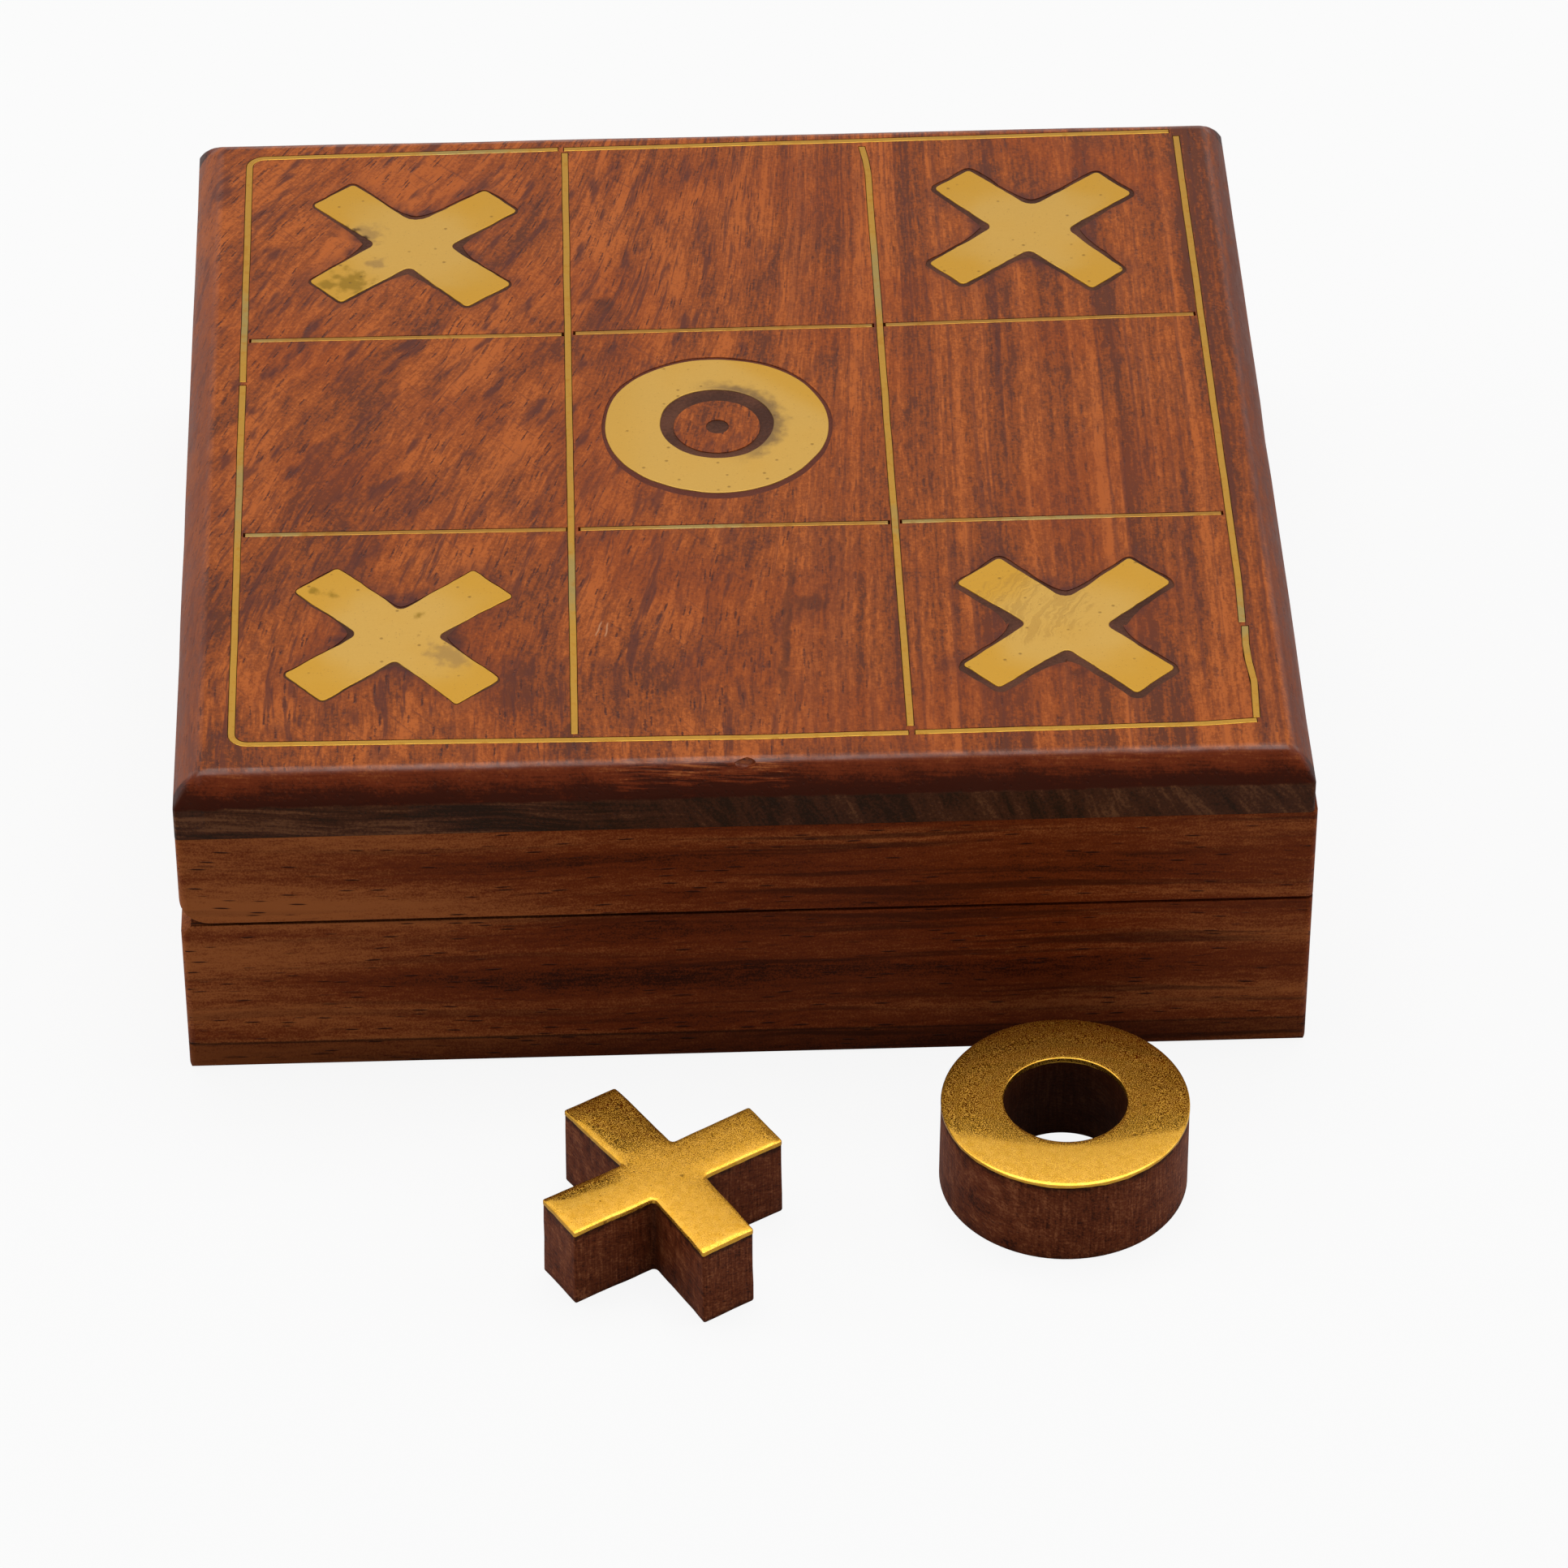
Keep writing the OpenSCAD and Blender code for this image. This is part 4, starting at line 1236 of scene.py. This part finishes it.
for name, master in masters.items():
    figure = lifted(master, (BRASS,), POCKET_FLOOR, TOP)
    rubbed_top(figure, RUBBED)
    piece(name + "_brass", figure, INLAY_BRASS, name)

filler = bmesh.new()
for master in masters.values():
    part = lifted(master, (DARK,), POCKET_FLOOR, TOP - FILLER_SUNK)
    for vert in part.verts:
        if vert.co.z > (TOP + POCKET_FLOOR) / 2:
            dented(vert, 1.5 * MM, FILLER_UNEVEN)
    scrap = bpy.data.meshes.new("scrap")
    part.to_mesh(scrap)
    filler.from_mesh(scrap)
    bpy.data.meshes.remove(scrap)
piece("inlay_filler_bed", filler, FILLER, "inlay_filler")
print("figures:", len(masters))

# %% [markdown]
# The board
#
# It is made in the order of the workshop: a block, four bevels (the top face, inset and raised in two
# steps, for the plane left them bulging), the worn crown where bevel and top meet, and last the rounded
# corners. Rows of cuts let the crown wander as a hand-planed edge does. Then the pockets and grooves are
# cut out with Boolean modifiers, whose result is kept as the mesh.

# %% Board blank
BEVEL_STEPS = ((1.1 * MM, 2.05 * MM), (1.7 * MM, 1.25 * MM))
BEVEL_FOOT = TOP - sum(down for across, down in BEVEL_STEPS)
RIDGE_AT, RIDGE_WIDE = TOP - BEVEL_STEPS[1][1], 1.3 * MM
CROWN_WIDE = 0.5 * MM
BOARD_CORNER_R = 0.5 * MM
SUPPORT = 0.6 * MM
BOARD_WEAR = 0.12 * MM


def sliced(bm, every, reach):
    """Cuts rows both ways through a solid, so that it can be bent."""
    count = int(reach / every)
    for axis in (X, Y):
        for step in range(-count, count + 1):
            bmesh.ops.bisect_plane(bm, geom=bm.verts[:] + bm.edges[:] + bm.faces[:], dist=SAME_PLACE,
                                   plane_co=axis * step * every, plane_no=axis)


def edges_at(bm, height):
    return [e for e in bm.edges if all(abs(v.co.z - height) < MM / 100 for v in e.verts)]


def turns_a_corner(edge):
    """Whether one side of the edge looks left or right, and the other to the front or back."""
    sides = [face.normal for face in edge.link_faces]
    looks = [abs(n.x) > abs(n.y) for n in sides]
    return max(abs(n.z) for n in sides) < TRULY_FLAT and looks[0] != looks[1]


def board_blank():
    bm = bmesh.new()
    foot_size = Vector((*(BOARD_HIGH - BOARD_LOW)[:2], BEVEL_FOOT - BOARD_LOW.z))
    seat = Matrix.Translation(BOARD_LOW + foot_size / 2) @ Matrix.Diagonal((*foot_size, 1))
    bmesh.ops.create_cube(bm, size=1, matrix=seat)
    for across, down in BEVEL_STEPS:
        top = max(bm.faces, key=lambda f: f.calc_center_median().z)
        bmesh.ops.inset_region(bm, faces=[top], thickness=across, depth=down, use_even_offset=True)
    for height, width in ((RIDGE_AT, RIDGE_WIDE), (TOP, CROWN_WIDE)):
        rounded(bm, edges_at(bm, height), width, 4)
    top = max(bm.faces, key=lambda f: (round(f.calc_center_median().z / MM, 3), f.calc_area()))
    bmesh.ops.inset_region(bm, faces=[top], thickness=SUPPORT, depth=0, use_even_offset=True)
    bmesh.ops.recalc_face_normals(bm, faces=bm.faces)
    rounded(bm, [e for e in bm.edges if turns_a_corner(e)], BOARD_CORNER_R, 3)
    sliced(bm, 7.5 * MM, 60 * MM)
    for vert in bm.verts:
        if BEVEL_FOOT - MM / 10 < vert.co.z < TOP - MM / 50:
            vert.co += drift(vert.co, BOARD_WEAR, 11 * MM, 21)
    kept_within(bm, BOARD_LOW, BOARD_HIGH)
    return bm


print("board:", [round(c / MM, 2) for c in BOARD_HIGH - BOARD_LOW], "mm")

# %% Cutting the board
ABOVE = TOP + 1 * MM
GROOVE_PLAY = 0.05 * MM
CHIP_AT = Vector((-0.2, -61.2, 41.1)) * MM
CHIP_SIZE = Vector((1.3, 0.8, 0.6)) * MM
CHIP_TURN = 0.2


def carved(blank, cutters):
    """Takes each cutter out of the blank, one after another."""
    body = as_object(blank, "blank")
    tools = [as_object(cutter, "cutter") for cutter in cutters]
    for tool in tools:
        cut = body.modifiers.new("cut", "BOOLEAN")
        cut.operation, cut.solver, cut.object = "DIFFERENCE", "MANIFOLD", tool
    result = bmesh.new()
    result.from_object(body, bpy.context.evaluated_depsgraph_get())
    for used in [body] + tools:
        bpy.data.meshes.remove(used.data)
    return result


def torn_spot(at, size, turn):
    """A small lump with the shape of a splinter that has come out."""
    bm = bmesh.new()
    seat = Matrix.Translation(at) @ Matrix.Rotation(turn, 4, "Z") @ Matrix.Diagonal((*size, 1))
    bmesh.ops.create_icosphere(bm, subdivisions=2, radius=1, matrix=seat)
    for vert in bm.verts:
        vert.co += drift(vert.co, 0.15 * MM, 0.6 * MM, 9)
    return bm


cutters = [lifted(master, (BRASS, DARK), POCKET_FLOOR, ABOVE) for master in masters.values()]
cutters += [strip_solid(name, GROOVE_PLAY, ABOVE) for name in STRAY]
cutters.append(torn_spot(CHIP_AT, CHIP_SIZE, CHIP_TURN))
board = carved(board_blank(), cutters)
print("board faces:", len(board.faces), "open edges:", sum(not e.is_manifold for e in board.edges))
piece("lid_board_carved", board, LID_WOOD, "lid_board")

# %% [markdown]
# The playing pieces
#
# A cross is a thick block of wood under a thin brass plate, sawn out together, so both follow one outline.
# The body widens a little towards the table, as a hand saw drifts. The plate's rim was rolled down by
# filing and hangs over the wood with a ragged lower edge.

# %% Blocks and plates
PLATE_THICK = 0.6 * MM
PLATE_PROUD = 0.04 * MM
BODY_FLARE = 0.12 * MM
ROLLED = 0.11 * MM
FOOT_R = 0.3 * MM
RAGGED_EVERY, RAGGED_DEEP = 1.1 * MM, 0.2 * MM


def heights_of(name):
    """A playing piece's foot, the joint between its wood and its plate, and its top."""
    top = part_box(name + "_plate")[1].z
    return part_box(name + "_body")[0].z, top - PLATE_THICK, top


def middle_of(node):
    low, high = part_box(node)
    return Vector(((low.x + high.x) / 2, (low.y + high.y) / 2, 0))


def note_height_and_shade(body, foot, split, shade_at):
    """Writes on each point of a block how far up it is and how deep in shade, which its finish paints in as
    shade and darkening.
    """
    shade, up = [body.verts.layers.float.new(name) for name in ("shade", "up")]
    for vert in body.verts:
        vert[up] = (vert.co.z - foot) / (split - foot)
        vert[shade] = shade_at(vert.co)


def worn_plate(plate, split, sunk_at):
    """Makes a plate's lower edge ragged, and lets its top sink by sunk_at(point)."""
    for vert in plate.verts:
        if vert.co.z < split + PLATE_THICK / 3:
            dented(vert, RAGGED_EVERY, RAGGED_DEEP)
        else:
            vert.co.z -= sunk_at(vert.co)


def playing_piece(name, body, plate):
    piece(name + "_block", body, PIECE_WOOD, name + "_body")
    piece(name + "_sheet", plate, PLATE_BRASS, name + "_plate")


print("plates are", round(PLATE_THICK / MM, 2), "mm thick")

# %% Cross pieces
CROSS_TURNS = {"cross_1": LOOSE_TURN, "cross_2": 47, "cross_3": 41, "cross_4": 49, "cross_5": 44}
LOOSE_ARMS = ((13.7, 3.6, 3.4), (14.5, 3.95, 3.1), (13.7, 3.3, 3.55), (13.65, 3.15, 3.75))
STORED_ARMS = ((13.85, 3.45, 3.35), (13.8, 3.3, 3.4), (13.75, 3.4, 3.4), (13.8, 3.4, 3.3))
PIECE_ROOT_AT = 3.4 * MM
PIECE_RADII = (0.3 * MM, 0.5 * MM, 0.6 * MM)
ROUGH_CUT = 0.08 * MM
PILLOW_WIDE, PILLOW_DROP = 2.2 * MM, 0.14 * MM
SHADE_DEPTH, SHADE_WIDE = 0.7, 2 * MM


def cross_shape(name, shrink, seed):
    """The flat outline of a cross piece round the origin, this much smaller than the full size."""
    arms = LOOSE_ARMS if name == "cross_1" else STORED_ARMS
    arms = [[v * MM - shrink for v in arm] for arm in arms]
    bm = cross_outline(arms, PIECE_ROOT_AT - shrink, *PIECE_RADII)
    refine(bm, 1.2 * MM)
    roughed(bm, ROUGH_CUT, 4 * MM, seed)
    return bm


def raised(bm, levels, flare=0):
    """Extrudes a flat outline through a list of heights, spread outwards at the foot by flare."""
    for vert in bm.verts:
        vert.co.z = levels[0]
    end = bm.faces[:]
    for level in levels[1:]:
        made = bmesh.ops.extrude_face_region(bm, geom=region(end))
        end = new_faces(made)
        for vert in new_verts(made):
            vert.co.z = level
    bmesh.ops.recalc_face_normals(bm, faces=bm.faces)
    for vert in bm.verts:
        share = (levels[-1] - vert.co.z) / (levels[-1] - levels[0])
        vert.co += Vector((vert.co.x, vert.co.y, 0)).normalized() * flare * share
    return bm


def in_from_rim(at):
    """How far a point of a cross lies in from its outline."""
    long, short = max(abs(at.x), abs(at.y)), min(abs(at.x), abs(at.y))
    if long < PIECE_ROOT_AT:
        return math.hypot(PIECE_ROOT_AT - long, PIECE_ROOT_AT - short)
    return min(PIECE_ROOT_AT - short, STORED_ARMS[0][0] * MM - long)


def notch_shade(at):
    out = (max(abs(at.x), abs(at.y)) - PIECE_ROOT_AT) / SHADE_WIDE
    return max(0, 1 - out) * SHADE_DEPTH


def pillow(at):
    """A cross plate's top sinks towards its rim."""
    return PILLOW_DROP * (1 - min(1, max(0, in_from_rim(at) / PILLOW_WIDE))) ** 2


def cross_piece(name, seed):
    foot, split, top = heights_of(name)
    levels = [foot + (split - foot) * share for share in (0, 0.25, 0.5, 0.75, 1)]
    body = raised(cross_shape(name, BODY_FLARE + PLATE_PROUD, seed), levels, BODY_FLARE)
    # Painted shade: the wood in the notches is marked to be painted dark.
    note_height_and_shade(body, foot, split, notch_shade)
    for vert in body.verts:
        if foot < vert.co.z < split:
            vert.co += drift(vert.co, ROUGH_CUT, 5 * MM, seed + 3)
    rounded(body, [e for e in arrises(body) if all(v.co.z - foot < SAME_PLACE for v in e.verts)], FOOT_R)
    plate = raised(cross_shape(name, BODY_FLARE, seed), [split, top])
    rubbed_top(plate, ROLLED, top)
    sliced(plate, 0.9 * MM, 14 * MM)
    worn_plate(plate, split, pillow)
    turn = Matrix.Rotation(math.radians(CROSS_TURNS[name]), 4, "Z")
    seat = Matrix.Translation(middle_of(name + "_plate")) @ turn
    for part in (body, plate):
        bmesh.ops.transform(part, matrix=seat, verts=part.verts)
    playing_piece(name, body, plate)


for seed, name in enumerate(CROSS_TURNS, 40):
    cross_piece(name, seed)
print("crosses:", len(CROSS_TURNS))

# %% [markdown]
# The ring pieces
#
# A ring's section is drawn once, as a flat face with its corners rounded, and spun round the ring's middle.
# A face spun full circle would leave a wall inside, so only its outline is spun.

# %% Ring pieces
RING_NAMES = ["ring_1", "ring_2", "ring_3", "ring_4"]
HOLE_R = 6.9 * MM
DOME_FROM, DOME_DROP = 5 * MM, 0.3 * MM
RING_SHAKE = 0.03 * MM


def spun(middle, inner, outer, low, high, radius, longest, rounded_from):
    """A ring with this section. Its corners above a height are rounded."""
    at = middle + X * (inner + outer) / 2 + UP * (low + high) / 2
    bm = upright_face((outer - inner) * X, high - low, Y, at)
    rounded(bm, [v for v in bm.verts if v.co.z >= rounded_from], radius, 3, "VERTICES")
    refine(bm, longest)
    bmesh.ops.delete(bm, geom=bm.faces[:], context="FACES_ONLY")
    bmesh.ops.spin(bm, geom=bm.verts[:] + bm.edges[:], cent=middle, axis=UP, angle=math.radians(360),
                   steps=RING_STEPS, use_merge=True)
    bmesh.ops.recalc_face_normals(bm, faces=bm.faces)
    return bm


def ring_piece(name, seed):
    low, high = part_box(name + "_body")
    foot, split, top = heights_of(name)
    middle = middle_of(name + "_body")
    outer = (high.x - low.x) / 2

    def reach(at):
        return math.hypot(at.x - middle.x, at.y - middle.y)

    def dome(at):
        """A ring plate's top sinks towards its outside."""
        return DOME_DROP * (max(0, reach(at) - DOME_FROM) / (outer - DOME_FROM)) ** 3

    body = spun(middle, HOLE_R + PLATE_PROUD, outer - BODY_FLARE, foot, split, FOOT_R, 2 * MM, foot)
    # Painted shade: the wood inside the hole is marked to be painted dark.
    note_height_and_shade(body, foot, split, lambda at: float(reach(at) < HOLE_R + MM / 2))
    for vert in body.verts:
        if reach(vert.co) > (HOLE_R + outer) / 2:
            outward = Vector((vert.co.x - middle.x, vert.co.y - middle.y, 0)).normalized()
            vert.co += outward * (BODY_FLARE - RING_SHAKE) * (split - vert.co.z) / (split - foot)
            sideways(vert, drift(vert.co, RING_SHAKE, 6 * MM, seed))
    plate = spun(middle, HOLE_R, outer - BODY_FLARE + PLATE_PROUD, split, top, ROLLED, 0.5 * MM, top)
    worn_plate(plate, split, dome)
    playing_piece(name, body, plate)


for seed, name in enumerate(RING_NAMES, 60):
    ring_piece(name, seed)
print("rings:", len(RING_NAMES))

# %% [markdown]
# Last checks
# The hinges
# The hinges and their screws keep their own shapes and get the hinges' brass. The visual model has to stay
# inside the CAD model's box.

# %% Finish
for node_object in frame["nodes"].values():
    if not node_object.hide_render:
        node_object.data.materials.clear()
        node_object.data.materials.append(HINGE_BRASS)
